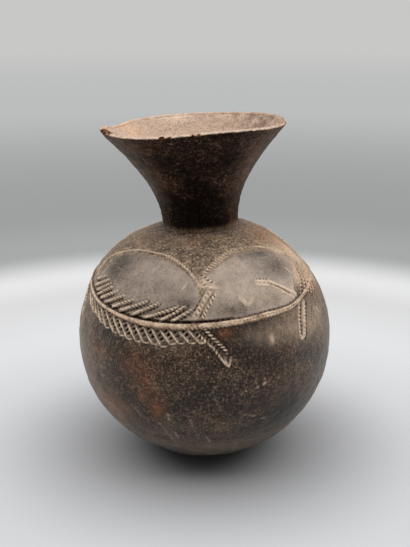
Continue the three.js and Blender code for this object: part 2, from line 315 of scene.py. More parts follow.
def fired_clay(name, dark, light, gloss, shine, bloom):
    """Smoked earthenware. Fire clouds 30 mm across, mottling of 7 mm, dapples of 2.6 mm and grain of 1.5 mm drift
    between two browns. Each layer of polish, dust, fire, soot and wear lies over that where its vertex tone
    says, and so do the dark of pits, which is dirt and painted shade, the painted shade in the neck's soot and
    the painted highlight in the pale of the band and the lip. Pale sand grains and dark pores under 2 mm speckle
    all but the pits and the rubbed crests. The ground has a low broad gloss under a bloom of fine dust, and
    dust, pits and rubbed crests are dull."""
    material = bpy.data.materials.new(name)
    material.use_nodes = True
    tree = material.node_tree
    tree.nodes.clear()
    place = add(tree, "TexCoord", out="Object")
    noises = {"grit": add(tree, "TexNoise", {"Vector": place, "Scale": 1 / GRIT, "Detail": 3.0})}
    for label, size, detail, stretch in NOISES:
        spot = add(tree, "Mapping", {"Vector": place, "Scale": stretch})
        noises[label] = add(tree, "TexNoise", {
            "Vector": spot, "Scale": 1 / size, "Detail": float(detail), "Roughness": 0.6,
        })
    drift = 0.0
    for label, weight in DRIFT:
        drift = add(tree, "Math", {0: noises[label], 1: weight, 2: drift}, operation="MULTIPLY_ADD")
    share = add(tree, "MapRange", {"Value": drift, 1: DARK_UP_TO, 2: LIGHT_FROM})
    colour = add(tree, "Mix", {"Factor": share, 6: linear(dark), 7: linear(light)}, **COLOUR_MIX)
    sandy = add(tree, "Attribute", out="Fac", attribute_name="sandy")
    sandy = add(tree, "MapRange", {"Value": sandy, 1: NO_SAND, 2: 1.0})
    covers = {}
    for tone, tint, most, patchy in LAYERS:
        if tone == "pitted":
            for label, start, full, cover, speck_tint in SPECKS:
                speck = add(tree, "MapRange", {"Value": noises[label], 1: start, 2: full, 3: 0.0, 4: cover})
                speck = add(tree, "Math", {0: speck, 1: sandy}, operation="MULTIPLY")
                colour = add(tree, "Mix", {"Factor": speck, 6: colour, 7: linear(speck_tint)}, **COLOUR_MIX)
        there = add(tree, "Attribute", out="Fac", attribute_name=tone)
        rough = noises["mottle" if tone in ("burnished", "dusty", "oxidised") else "grain"]
        broken = add(tree, "MapRange", {
            "Value": rough, 1: THIN_UP_TO, 2: THICK_FROM, 3: (1 - patchy) * most, 4: most,
        })
        covers[tone] = add(tree, "Math", {0: there, 1: broken}, operation="MULTIPLY", use_clamp=True)
        colour = add(tree, "Mix", {"Factor": covers[tone], 6: colour, 7: linear(tint)}, **COLOUR_MIX)
    dull = covers["dusty"]
    for tone in ("rubbed", "inside", "pitted"):
        dull = add(tree, "Math", {0: dull, 1: covers[tone]}, operation="MAXIMUM")
    grained = add(tree, "MapRange", {"Value": noises["grain"], 1: 0.3, 2: 0.7, 3: gloss - 0.08, 4: gloss + 0.10})
    roughness = add(tree, "Mix", {"Factor": dull, 2: grained, 3: DULL}, data_type="FLOAT")
    under = {}
    for label, strength, depth in FINE_RELIEF:
        relief = add(tree, "Bump", {"Height": noises[label], "Strength": strength, "Distance": depth, **under})
        under = {"Normal": relief}
    skin = add(tree, "BsdfPrincipled", {
        "Base Color": colour, "Roughness": roughness, "Normal": relief, "IOR": 1.5, "Specular IOR Level": shine,
        "Sheen Weight": bloom, "Sheen Roughness": 0.5, "Sheen Tint": linear("#e6e1da"),
    })
    add(tree, "OutputMaterial", {"Surface": skin})
    return material


def patches(angle, height, spots):
    """Sum of soft-edged patches, each exp(−(aside/half width)² − (up/half height)²) times its strength, with the
    way aside measured round the body."""
    total = np.zeros(np.broadcast(angle, height).shape)
    radius = np.maximum(outer_radius(np.asarray(height)), 25)
    for spot_angle, spot_height, wide, tall, strength in spots:
        aside = np.radians((angle - spot_angle + 180) % 360 - 180) * radius
        total += strength * np.exp(-((aside / wide) ** 2) - ((height - spot_height) / tall) ** 2)
    return np.clip(total, 0, 1)


# Patches of finish: angle and height of the middle, half width and half height in mm, and strength. First the
# less smoked, orange-brown clay where the fire reached.
OXIDISED = (
    (-20, 72, 6, 8, 0.75), (-25, 84, 7, 9, 0.45), (-28, 104, 18, 14, 0.32), (-52, 108, 12, 8, 0.30),
    (10, 133, 7, 4, 0.38), (-46, 62, 20, 15, 0.50), (-60, 86, 12, 16, 0.2), (63, 166, 8, 9, 0.5),
    (-2, 102, 26, 20, 0.08), (70, 183, 16, 6, 0.50), (80, 160, 18, 20, 0.95), (84, 174, 18, 9, 0.95),
    (68, 148, 11, 8, 0.7), (76, 120, 10, 12, 0.12), (-62, 184, 20, 5, 0.12), (-2, 187, 16, 3, 0.5),
    (35, 92, 24, 16, 0.12), (5, 60, 14, 16, 0.10), (150, 110, 26, 24, 0.55), (214, 72, 18, 22, 0.5),
    (262, 150, 20, 16, 0.35), (120, 178, 24, 6, 0.5),
)
# Pale dust left on the surface
DUSTED = (
    (-78, 130, 12, 16, 0.60), (-74, 95, 14, 22, 0.42), (-54, 62, 22, 16, 0.40), (0, 34, 60, 9, 0.22),
    (-15, 60, 9, 6, 0.22), (4, 58, 22, 7, 0.20), (-20, 122, 24, 6, 0.24), (30, 124, 2.2, 5, 0.75),
    (56, 129, 30, 13, 0.76), (30, 130, 20, 5, 0.50), (-5, 100, 22, 10, 0.12), (170, 120, 40, 12, 0.4),
    (230, 100, 30, 20, 0.25), (110, 60, 40, 16, 0.3), (80, 162, 18, 18, 0.85), (66, 182, 18, 5, 0.5),
)
# Where the pebble left a greyer polish below the panels
POLISHED = (
    (-66, 96, 26, 30, 0.12), (0, 40, 90, 14, 0.07), (52, 128, 26, 12, 0.34), (28, 127, 18, 7, 0.16),
    (46, 84, 30, 26, 0.03),
)
# Where sand grains show thickest
SANDY = (
    (-16, 119, 26, 8, 0.9), (4, 112, 22, 12, 0.7), (-14, 98, 22, 14, 0.65), (8, 92, 26, 16, 0.5),
    (18, 92, 12, 5, 0.4), (3, 58, 26, 12, 0.45), (-15, 66, 5, 5, 0.5), (24, 64, 12, 5, 0.4),
    (60, 124, 26, 18, 0.75), (78, 168, 24, 20, 0.6), (150, 100, 50, 30, 0.5), (240, 90, 40, 30, 0.5),
)
# Blackest smoke
BLACKENED = (
    (3, 92, 24, 16, 0.74), (16, 120, 12, 8, 0.45), (32, 108, 20, 10, 0.34), (36, 76, 18, 14, 0.42),
    (12, 76, 20, 12, 0.3), (-40, 84, 12, 14, 0.24), (42, 60, 24, 16, 1.0), (5, 50, 30, 12, 0.54),
    (-12, 108, 12, 8, 0.25), (-66, 122, 6, 8, 0.2), (180, 80, 30, 30, 0.45), (100, 120, 24, 16, 0.4),
    (250, 120, 20, 22, 0.3),
)
# Small knocks and white specks
KNOCKS = [
    (25.2, 93.2, 1.1, 0.9, 1.0), (25.2, 96.5, 0.8, 0.7, 0.9), (22.1, 91.1, 0.9, 0.7, 0.8),
    (31.9, 95.0, 0.8, 0.7, 0.8), (16.9, 89.3, 0.8, 0.7, 0.6), (24.6, 92.4, 0.8, 0.7, 0.8),
    (-15.7, 68.3, 1.1, 1.4, 0.55), (-15.5, 64.4, 0.9, 1.2, 0.5), (30.3, 126.2, 2.4, 2.2, 0.55),
    (30.5, 123.2, 1.4, 2.0, 0.5), (17.5, 67.8, 1.4, 0.8, 0.45), (21.9, 65.2, 2.0, 0.8, 0.5),
    (26.9, 61.0, 2.2, 0.9, 0.45), (20.0, 66.6, 1.6, 0.7, 0.4),
]
# Long scratches down the foot, laid as rows of small knocks: angle and height of both ends, and strength
SCRATCHES = (
    ((-20.4, 57.6), (-16.4, 42.7), 0.26), ((-6.2, 65.4), (-2.7, 44.3), 0.18), ((-14.0, 50.0), (-13.0, 44.0), 0.2),
    ((0.5, 48.0), (3.0, 40.0), 0.2), ((4.0, 86.0), (7.0, 74.0), 0.14), ((-32.0, 70.0), (-29.0, 62.0), 0.12),
)
KNOCKS += [
    (start[0] + (end[0] - start[0]) * share, start[1] + (end[1] - start[1]) * share, 0.6, 1.0, strength)
    for start, end, strength in SCRATCHES for share in np.linspace(0, 1, 12)
]


def fired_tones(angle, height):
    """What the fire, smoke, dust and pebble left at each place of the undecorated clay."""
    angle, height = np.broadcast_arrays(angle, height)
    return {
        "oxidised": patches(angle, height, OXIDISED),
        "burnished": patches(angle, height, POLISHED),
        "dusty": patches(angle, height, DUSTED),
        "sooted": patches(angle, height, BLACKENED),
        "sandy": patches(angle, height, SANDY),
        "rubbed": patches(angle, height, KNOCKS),
        "pitted": np.zeros(angle.shape),
    }


def spare(height):
    """How far, in mm, the surface may stand out at a height before its lean carries it past the widest ring."""
    share = np.clip((height - BELLY_HEIGHT) / (NECK_ROOT_HEIGHT - BELLY_HEIGHT), 0, 1)
    return BELLY_RADIUS - outer_radius(height) - LEAN_DRIFT * share ** DRIFT_POWER


def unevenness(points, height):
    """Height in mm of the beaten and smoothed surface: waves of 34, 12 and 4.5 mm. None of it leaves the jar's
    widest ring or the plane that it rests on."""
    waves = 0.18 * waver(points, 34, 11) + 0.10 * waver(points, 12, 12) + 0.035 * waver(points, 4.5, 13)
    return np.minimum(waves * ease(height, 0.5, 5), spare(height))


def cavity_rows(high, low, angles, step=5.0):
    """Rows of the inside, coming down, with the low ridges that the fingers left: waves of 22 mm, some 0.4 mm high."""
    height = climb(cavity_radius, low, high, step)[::-1]
    radius = cavity_radius(height)
    points = spun(radius, height, angles)
    points += facing(radius, height, angles) * 0.4 * waver(points, 22, 14)[..., None]
    points[0, :, 2], points[-1, :, 2] = high, low
    return list(lean(points)), [{"inside": 1.0}] * len(height)


def body_outside(heights, angles, decorate):
    """Rows of the body's uneven outside going up, and their tones, after decorate has changed the relief, which
    lies along the normals in mm, and the tones."""
    radius = outer_radius(heights)
    points = spun(radius, heights, angles)
    normals = facing(radius, heights, angles, outer_radius)
    tones = fired_tones(angles[None, :], heights[:, None])
    relief = decorate(points, normals, angles, heights, unevenness(points, heights[:, None]), tones)
    return list(lean(points + normals * relief[..., None])), by_row(tones, len(heights))


# Share of pale scuffing on the resting face
FOOT_WEAR = 0.8


def worn_foot(points, normals, angles, heights, relief, tones):
    """Leaves the relief as it is, and scuffs the clay pale round the resting face."""
    tones["dusty"] = np.maximum(tones["dusty"], FOOT_WEAR * ease(heights, 5, 1)[:, None])
    return relief


# Smoked clay, beaten and rubbed with a pebble: dark and lighter brown drift together under a low, broad sheen
SmokedClay = fired_clay("SmokedEarthenware", "#180b05", "#8e7159", 0.50, 0.25, 0.30)

bowl_angles = around(0.6, 0.6)
foot_radius = np.array([REST_RADIUS / 3, REST_RADIUS * 2 / 3])
foot_rows = [np.zeros((1, 3)), *spun(foot_radius, np.zeros(2), bowl_angles)]
bowl_rows, bowl_tones = body_outside(climb(outer_radius, 0.0, BOWL_TOP, 1.2), bowl_angles, worn_foot)
inner_rows, inner_tones = cavity_rows(BOWL_TOP, FLOOR_THICKNESS, bowl_angles[::4])
inner_rows[-1] = np.array([[0, 0, FLOOR_THICKNESS]])
bowl_rows = foot_rows + bowl_rows
bowl_tones = [{"dusty": FOOT_WEAR}] * len(foot_rows) + bowl_tones
bowl_edges = (len(bowl_rows) - 1, len(bowl_rows))
bowl = clay_piece("bowl", bowl_rows + inner_rows, bowl_tones + inner_tones, False, bowl_edges, SmokedClay)
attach(bowl, "root")
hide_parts("base_bowl")


# Lower belly: the first thick coil on the bowl's edge, drawn up and beaten out to just under the widest ring.
# Its joints were scraped over inside and out, so nothing but a slight unevenness shows them.
LOWER_BELLY_TOP = 88.0


def plain(points, normals, angles, heights, relief, tones):
    """Leaves the relief and the tones as they are."""
    return relief


def body_coil(name, node, heights, angles, decorate, seat=(), cavity_top=None, step=5.0):
    """A coil of the body between two flat joints: the outside over the given heights, any rows of a seat on top,
    and the plain inside from the cavity's top down, on every fourth column."""
    rows, tones = body_outside(heights, angles, decorate)
    inside, inside_tones = cavity_rows(cavity_top or heights[-1], heights[0], angles[::4], step)
    inside, inside_tones = [*seat, *inside], [{"inside": 1.0}] * len(seat) + inside_tones
    edges = (0, *range(len(rows) - 1, len(rows) + 1 + len(seat)), len(rows + inside) - 1)
    piece = clay_piece(name, rows + inside, tones + inside_tones, True, edges, SmokedClay)
    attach(piece, "root")
    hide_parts(node)
    return piece


body_coil("lower_belly", "lower_belly_coil",
          climb(outer_radius, BOWL_TOP, LOWER_BELLY_TOP, 1.0), around(0.5, 0.5), plain)


# Upper belly: the coil above the widest ring, where the drawing begins. The pendants' points and the foot of
# the hatching reach into it, pressed with a twisted cord and the edge of a stick while the clay was soft.
UPPER_BELLY_TOP = 122.0
LOWER_SHOULDER_TOP = 155.0
# Heights between which the drawing lies, where the rows are finer
DRAWN_FROM = 104.0
DRAWN_TO = 183.5
# Radius of the body at the band, which turns an angle into a length along it
BAND_ARC = 91.0
# Deepest groove and highest ridge of the drawing
GROOVE_LIMIT = -2.6
RIDGE_LIMIT = 1.2
# Height of the band's middle every 15 degrees from the front, going round to the right
BAND_COURSE = np.array([
    138.3, 139.9, 141.7, 142.6, 147.2, 150.6, 152.3, 151.8, 150.2, 148.6, 147.4, 146.8,
    146.6, 146.9, 147.5, 148.2, 148.8, 149.2, 148.6, 144.6, 140.6, 138.3, 137.0, 137.1,
])

LEFT_ARCH = (
    (-73.2, 152.6), (-75.2, 155.7), (-77.1, 158.9), (-78.9, 162.5), (-77.7, 166.2), (-74.2, 169.8),
    (-69.0, 173.3), (-62.1, 176.1), (-52.5, 178.3), (-42.2, 179.1), (-35.1, 179.1), (-27.5, 178.8),
    (-21.0, 177.7), (-14.9, 175.6), (-10.2, 173.4), (-6.7, 170.7), (-4.7, 168.0), (-2.4, 165.2), (-1.3, 162.9),
)
RIGHT_ARCH = (
    (1.0, 168.6), (3.6, 171.3), (7.1, 173.9), (11.1, 176.4), (15.4, 178.2), (21.3, 179.9), (27.4, 180.9),
    (33.4, 181.1), (43.3, 180.7), (50.6, 179.6), (57.1, 177.8), (63.4, 175.6), (69.1, 172.5), (72.4, 169.4),
)
# Where the right panel ends and bare tan clay begins, below and right of it
RIGHT_PANEL_FOOT = ((49.0, 0.0), (53.1, 151.1), (60.0, 159.2), (68.8, 165.5), (72.4, 169.4))
BACK_RIGHT_ARCH = (
    (91.5, 160.0), (92.5, 166.0), (95.5, 172.0), (101.0, 177.0), (108.0, 180.0), (119.0, 181.0), (130.0, 179.2),
    (139.0, 175.6), (146.0, 169.0), (149.0, 161.0),
)
BACK_ARCH = (
    (150.5, 161.0), (154.0, 168.0), (160.0, 173.6), (168.0, 177.6), (178.0, 179.8), (189.0, 180.0),
    (199.0, 177.6), (206.0, 173.4), (211.0, 167.0), (213.0, 160.0),
)
BACK_LEFT_ARCH = (
    (214.5, 160.0), (217.0, 166.0), (223.0, 172.6), (232.0, 178.0), (244.0, 180.2), (254.0, 178.6),
    (262.0, 174.4), (265.6, 169.5), (267.6, 164.0), (270.5, 160.0), (274.0, 155.5),
)
ARCHES = (LEFT_ARCH, RIGHT_ARCH, BACK_RIGHT_ARCH, BACK_ARCH, BACK_LEFT_ARCH)


def band_height(angle):
    """Height of the band's middle, laid by eye: a smooth line (Catmull-Rom) through the heights of its course."""
    place = np.asarray(angle, float) % 360 / 360 * len(BAND_COURSE)
    step = np.floor(place).astype(int)
    share = place - step
    before, start, end, after = (BAND_COURSE[(step + i) % len(BAND_COURSE)] for i in (-1, 0, 1, 2))
    leaving, arriving = (end - before) / 2, (after - start) / 2
    bend = (2 * (start - end) + leaving + arriving) * share ** 3
    return start + leaving * share + (3 * (end - start) - 2 * leaving - arriving) * share ** 2 + bend


def on_body(angle, height):
    """Place on the upright body at an angle from the front and a height."""
    radius, turn = outer_radius(height), np.radians(angle)
    return np.stack([radius * np.sin(turn), -radius * np.cos(turn), height], -1)


class Skin:
    """The smooth surface of one coil and what gets pressed into it: relief in mm, and tones of wear, and of dirt
    and painted shade. Each mark takes the place of the earlier ones that it crosses."""

    def __init__(self, points, normals, angles, heights, relief, tones):
        self.points, self.normals, self.angles, self.heights = points, normals, angles, heights
        self.relief, self.tones = relief, tones
        # The hand's unevenness, which shifts the beads and makes a mark deeper here and fainter there
        self.hand = waver(points, 9, 21)

    def press(self, window, across, along, total, lift, half, wear, pitch=0.0, slant=0.0, fill=0.6, phase=0.0):
        """Raises or sinks a line, or a row of beads or pits on it. The section is the dome 1 − (across/half)², flat
        from two thirds up. Beads also close it along the line once in each pitch, slanted by slant mm for each mm
        across, and fill is the share of the pitch that a bead takes."""
        hand = self.hand[window]
        dome = (across / half) ** 2
        if pitch:
            cell = (along + slant * across + 0.3 * hand) / pitch + phase
            dome = dome + ((cell - np.floor(cell) - 0.5) * 2 / fill) ** 2
        dome = np.clip(1.5 * (1 - dome), 0, 1)
        dome = dome * (0.45 + 0.55 * ease(along, 0, 2.5) * ease(total - along, 0, 2.5))
        dome = dome * (along >= 0) * (along <= total)
        self.relief[window] += lift * dome * np.clip(1 + 0.28 * hand, 0.4, 1.5)
        # Raised marks are rubbed pale; sunken ones darken with their section, partly dirt and partly painted shade
        here = abs(wear) * dome * np.clip(1 + 0.18 * hand, 0.5, 1.3)
        tone, other = ("rubbed", "pitted") if wear > 0 else ("pitted", "rubbed")
        self.tones[tone][window] = np.maximum(self.tones[tone][window], here)
        self.tones[other][window] *= 1 - np.clip(here, 0, 1)

    def draw(self, path, lift, half, wear, aside=0.0, **beads):
        """Presses a line along a path of (angle, height) places, aside mm to the left of it. The distance from
        each vertex near it is the least over the line's pieces, about a millimetre long each."""
        corners = np.array(path, float)
        span = np.linalg.norm(np.diff(on_body(*corners.T), axis=0), axis=-1)
        length = np.concatenate([[0], np.cumsum(span)])
        even = np.linspace(0, length[-1], max(3, int(length[-1] / 1.2)))
        places = np.stack([np.interp(even, length, corners[:, i]) for i in (0, 1)], -1)
        for _ in range(3):
            places[1:-1] = (places[:-2] + 2 * places[1:-1] + places[2:]) / 4
        reach = half + abs(aside) + 1.0
        rows = np.flatnonzero(
            (self.heights > places[:, 1].min() - reach) & (self.heights < places[:, 1].max() + reach))
        if not len(rows):
            return
        wide = np.degrees(reach / outer_radius(places[:, 1].max()))
        low, high = places[:, 0].min() - wide, places[:, 0].max() + wide
        columns = np.flatnonzero((self.angles - low) % 360 < high - low)
        window = np.ix_(rows, columns)
        line = on_body(*places.T)
        step = np.diff(line, axis=0)
        size = np.linalg.norm(step, axis=-1)
        step /= size[:, None]
        offset = self.points[window][:, :, None, :] - line[:-1]
        along = np.clip((offset * step).sum(-1), 0, size)
        gap = offset - along[..., None] * step
        nearest = (gap ** 2).sum(-1).argmin(-1)[..., None]
        gap = np.take_along_axis(gap, nearest[..., None], 2)[:, :, 0]
        along = np.take_along_axis(along, nearest, 2)[..., 0]
        nearest = nearest[..., 0]
        along = along + np.concatenate([[0], np.cumsum(size)])[nearest]
        side = np.sign((np.cross(self.normals[window], step[nearest]) * gap).sum(-1))
        across = side * np.linalg.norm(gap, axis=-1) - aside
        self.press(window, across, along, size.sum(), lift, half, wear, **beads)

    def follow_band(self, aside, low, high, lift, half, wear, **beads):
        """Presses a line beside the band, aside mm up the shoulder from its middle, between two angles."""
        middle = band_height(self.angles)
        slope = (outer_radius(middle + 1) - outer_radius(middle - 1)) / 2
        across = (self.heights[:, None] - middle) * np.hypot(slope, 1) - aside
        rows = np.flatnonzero(np.abs(across).min(1) < half + 1)
        columns = np.flatnonzero((self.angles - low) % 360 < high - low)
        if not len(rows):
            return
        window = np.ix_(rows, columns)
        turned = np.radians((self.angles[columns] - low) % 360)
        along = np.broadcast_to(turned * BAND_ARC, (len(rows), len(columns)))
        self.press(window, across[window], along, math.radians(high - low) * BAND_ARC, lift, half, wear, **beads)

    def cord(self, path, ridge, pits, **beads):
        """Presses a twisted cord along a path: its beads, and the pits between them half a pitch further on, each
        given as lift, half width, wear and fill."""
        for (lift, half, wear, fill), phase in ((ridge, 0.0), (pits, 0.5)):
            self.draw(path, lift, half, wear, fill=fill, phase=phase, **beads)


# Kinds of line that come back: the hatching's rail, a twisted cord, and a row of the cord's dashes
RAIL = dict(lift=0.55, half=0.72, wear=1.25)
ROPED = dict(lift=0.50, half=1.20, wear=1.20, pitch=2.9, slant=0.8, fill=0.62)
DASHES = dict(lift=0.6, half=1.15, wear=1.0, pitch=3.1, slant=-0.6, fill=0.52)
# Length of a degree round the belly in mm, and degrees between the hatching's rows
HATCH_ARC = 1.8
HATCH_PITCH = 4.4


def hatch_row(skin, start, end):
    """One row of the hatching under the band: a bright rail with a loop at its foot, and from it to the next
    rail a dished strip with deep square pits and worn bars between them."""
    run, drop = (end[0] - start[0]) * HATCH_ARC, start[1] - end[1]
    gap = HATCH_PITCH * HATCH_ARC * drop / math.hypot(run, drop)
    inner = ((start[0] + 0.5, start[1] - 0.8), (end[0] - 0.5, end[1] + 0.8))
    skin.draw((start, end), -0.40, 0.45 * gap, 0.36, aside=gap / 2)
    skin.draw(inner, -1.3, 0.33 * gap, -1.15, aside=gap / 2, pitch=3.5, fill=0.74)
    skin.draw((start, end), **RAIL)
    skin.draw(((end[0] - 0.2, end[1]), (end[0] + 1.0, end[1] - 0.7), (end[0] + 2.3, end[1] + 0.5)), 0.5, 0.7, 1.2)


def rope(skin, start, end):
    """One of the rolls above the band: a raised strand, smooth at its foot and beaded along the rest, with a furrow
    under it darkened as a painted shadow, and a slighter one over it that the cord's knots have pitted."""
    third = tuple(0.65 * a + 0.35 * b for a, b in zip(start, end))
    # The furrow under the strand is darkened along its length as a painted shadow
    skin.draw((start, end), -0.50, 1.80, -0.42, aside=-1.9)
    skin.draw((start, end), 0.50, 1.10, 1.30)
    skin.draw((third, end), 0.30, 1.15, 1.40, aside=0.1, pitch=3.0, slant=0.6, fill=0.60)
    skin.draw((third, end), -0.60, 1.40, -1.15, aside=-0.1, pitch=3.0, slant=0.6, fill=0.38, phase=0.5)
    skin.draw((start, end), -0.80, 0.90, -1.25, aside=-2.0, pitch=3.0, fill=0.66)
    skin.draw((start, third), -0.50, 0.80, -0.70, aside=-2.0)
    skin.draw((third, end), -0.40, 0.70, -0.80, aside=1.7, pitch=3.0, fill=0.6)


def pendant(skin, angle, height):
    """A pendant under the band: two rows of cord dashes with a shallow worn strip between them that the cord's
    knots have pitted along both sides, closing to a small open triangle."""
    left, right = (
        [(angle + across, height + up) for across, up in path]
        for path in (
            ((0, 0), (2.0, -3.4), (4.0, -6.8), (6.0, -9.6), (8.6, -16.1), (10.9, -22.1), (12.1, -23.7)),
            ((2.2, 3.9), (3.8, 1.6), (5.8, -2.1), (7.4, -4.9), (9.3, -8.4), (10.5, -10.3), (11.8, -13.6)),
        )
    )
    skin.draw(left[:6], -0.6, 2.3, 0.16, aside=2.2)
    skin.draw(left[:5], -0.7, 0.8, -1.00, aside=1.9, pitch=3.0, fill=0.7)
    skin.draw(right, -0.7, 0.9, -0.95, aside=-2.1, pitch=3.0, fill=0.8)
    skin.draw(right, -0.5, 0.9, -0.6, aside=2.1)
    skin.draw(left[:3], 0.65, 1.15, 1.3, pitch=3.0, slant=0.9, fill=0.62)
    skin.draw(left[2:4], 0.55, 0.8, 1.15)
    skin.draw(left[3:5], 0.65, 1.15, 1.3, pitch=3.0, slant=0.9, fill=0.62)
    skin.draw(left[4:], 0.50, 0.85, 1.15)
    skin.draw(right, 0.65, 1.40, 1.50, pitch=3.0, slant=-0.9, fill=0.60)
    tip = ((angle + 10.3, height - 16.2), (angle + 12.1, height - 24.5), (angle + 13.1, height - 16.6))
    skin.draw(tip, 0.35, 0.8, 0.9)


# The hatching's rows, from the band down to their feet, and the rolls above the band, from the band up: angle and
# height of both ends, in front and then at the back
HATCH_ROWS = [
    ((-74.6, 140.6), (-66.6, 132.8)), ((-69.9, 139.5), (-62.0, 131.2)),
    ((-65.3, 138.5), (-57.4, 130.2)), ((-60.6, 137.7), (-53.0, 127.8)), ((-56.0, 137.3), (-48.6, 126.2)),
    ((-51.3, 136.8), (-42.9, 125.1)), ((-45.5, 135.6), (-38.5, 124.7)), ((-40.6, 134.7), (-34.5, 123.7)),
    ((-35.7, 134.3), (-29.8, 123.5)), ((-31.3, 134.3), (-25.9, 123.7)), ((-27.1, 133.9), (-21.7, 123.7)),
    ((-22.7, 133.7), (-17.7, 122.9)), ((-18.6, 133.8), (-13.8, 125.3)), ((-14.5, 134.0), (-10.1, 126.1)),
    ((-10.6, 134.5), (-5.5, 126.5)), ((-6.3, 135.2), (-1.4, 126.7)),
]
HATCH_ROWS += [
    ((a - 6.0, band_height(a - 6.0) - 3.0), (a, band_height(a) - 13.0))
    for a in (*np.arange(114.0, 150.0, HATCH_PITCH), *np.arange(202.0, 232.0, HATCH_PITCH))
]
ROPE_LINES = [
    ((-72.3, 152.2), (-62.9, 158.3)), ((-70.7, 147.9), (-58.3, 156.7)), ((-66.3, 146.2), (-55.3, 155.3)),
    ((-64.0, 143.8), (-52.2, 153.9)), ((-59.2, 143.0), (-47.1, 152.9)), ((-54.2, 142.1), (-41.6, 151.6)),
    ((-47.9, 141.3), (-34.7, 150.7)), ((-42.0, 140.7), (-27.7, 150.9)), ((-34.6, 140.4), (-21.3, 150.8)),
    ((-28.0, 140.2), (-11.3, 149.7)), ((-19.5, 139.9), (-8.0, 150.4)), ((-14.0, 140.2), (-4.5, 149.0)),
]
ROPE_LINES += [((a, band_height(a) + 3.4), (a + 12.0, band_height(a) + 12.6)) for a in np.arange(156.0, 204.0, 5.8)]


# Patches as before: where smoke dulls the panels, where it blackens the shoulder, where the shoulder's right is
# burnt a bright tan, where handling rubbed the crossing of the arches, and dust on the right panel
SMOKED_PANELS = (
    (-61, 163, 14, 9, 0.75), (-62, 172, 24, 6, 0.5), (-40, 178, 30, 3, 0.40), (-26, 158, 44, 14, 0.38),
    (-46, 161, 12, 9, 0.20), (-8, 152, 9, 4, 0.45), (53, 168, 14, 8, 0.70), (50, 178, 26, 3, 0.6),
    (38, 168, 12, 10, 0.22), (14, 147, 17, 5.5, 0.60), (36, 150, 10, 5, 0.25), (200, 165, 60, 14, 0.4),
)
SMOKED_SHOULDER = (
    (-14, 180, 9, 3, 0.45), (-3, 177, 7, 3, 0.40), (2, 183, 6, 4, 0.45), (-8, 171.5, 5, 2, 0.35),
    (-48, 186, 10, 3, 0.45), (-28, 183, 8, 2, 0.3), (-12, 188, 4, 2, 0.4), (14, 185, 7, 2, 0.3),
    (44, 186, 10, 3, 0.3), (-84, 168, 14, 12, 0.35), (-84, 150, 6, 8, 0.2),
)
TAN_RIGHT = (
    (63, 172, 8, 6, 0.78), (63, 165, 8, 8, 0.74), (80, 171, 12, 9, 0.65), (80, 160, 12, 10, 0.55),
    (70, 152, 8, 6, 0.60), (84, 150, 10, 7, 0.40), (60, 156, 5, 5, 0.50),
)
RUBBED_CROSSING = ((6.5, 163.5, 3.0, 2.4, 0.8), (1.6, 166.0, 4.0, 3.5, 0.7), (-1.0, 162.8, 2.0, 1.2, 0.9))
DUSTY_PANEL = ((23, 153.5, 6, 4, 0.4), (35, 153.0, 10, 4, 0.5))


def panel_share(angles, heights):
    """1 on the smooth panel inside an arch, 0 outside: under the arch's line and above the band."""
    share = np.zeros((len(heights), len(angles)))
    height = heights[:, None]
    for arch in ARCHES:
        turns, tops = np.array(arch).T
        order = np.argsort(turns)
        turned = turns[0] - 40 + (angles - turns[0] + 40) % 360
        top = np.interp(turned, turns[order], tops[order], left=0, right=0)
        foot = band_height(angles) + (1.6 if arch is RIGHT_ARCH else 3.5)
        if arch is RIGHT_ARCH:
            foot = np.maximum(foot, np.interp(turned, *np.array(RIGHT_PANEL_FOOT).T))
        inside = ease(top - height, 0.8, 3.2) * ease(height - foot, 0, 1.5)
        share = np.maximum(share, inside)
    return share


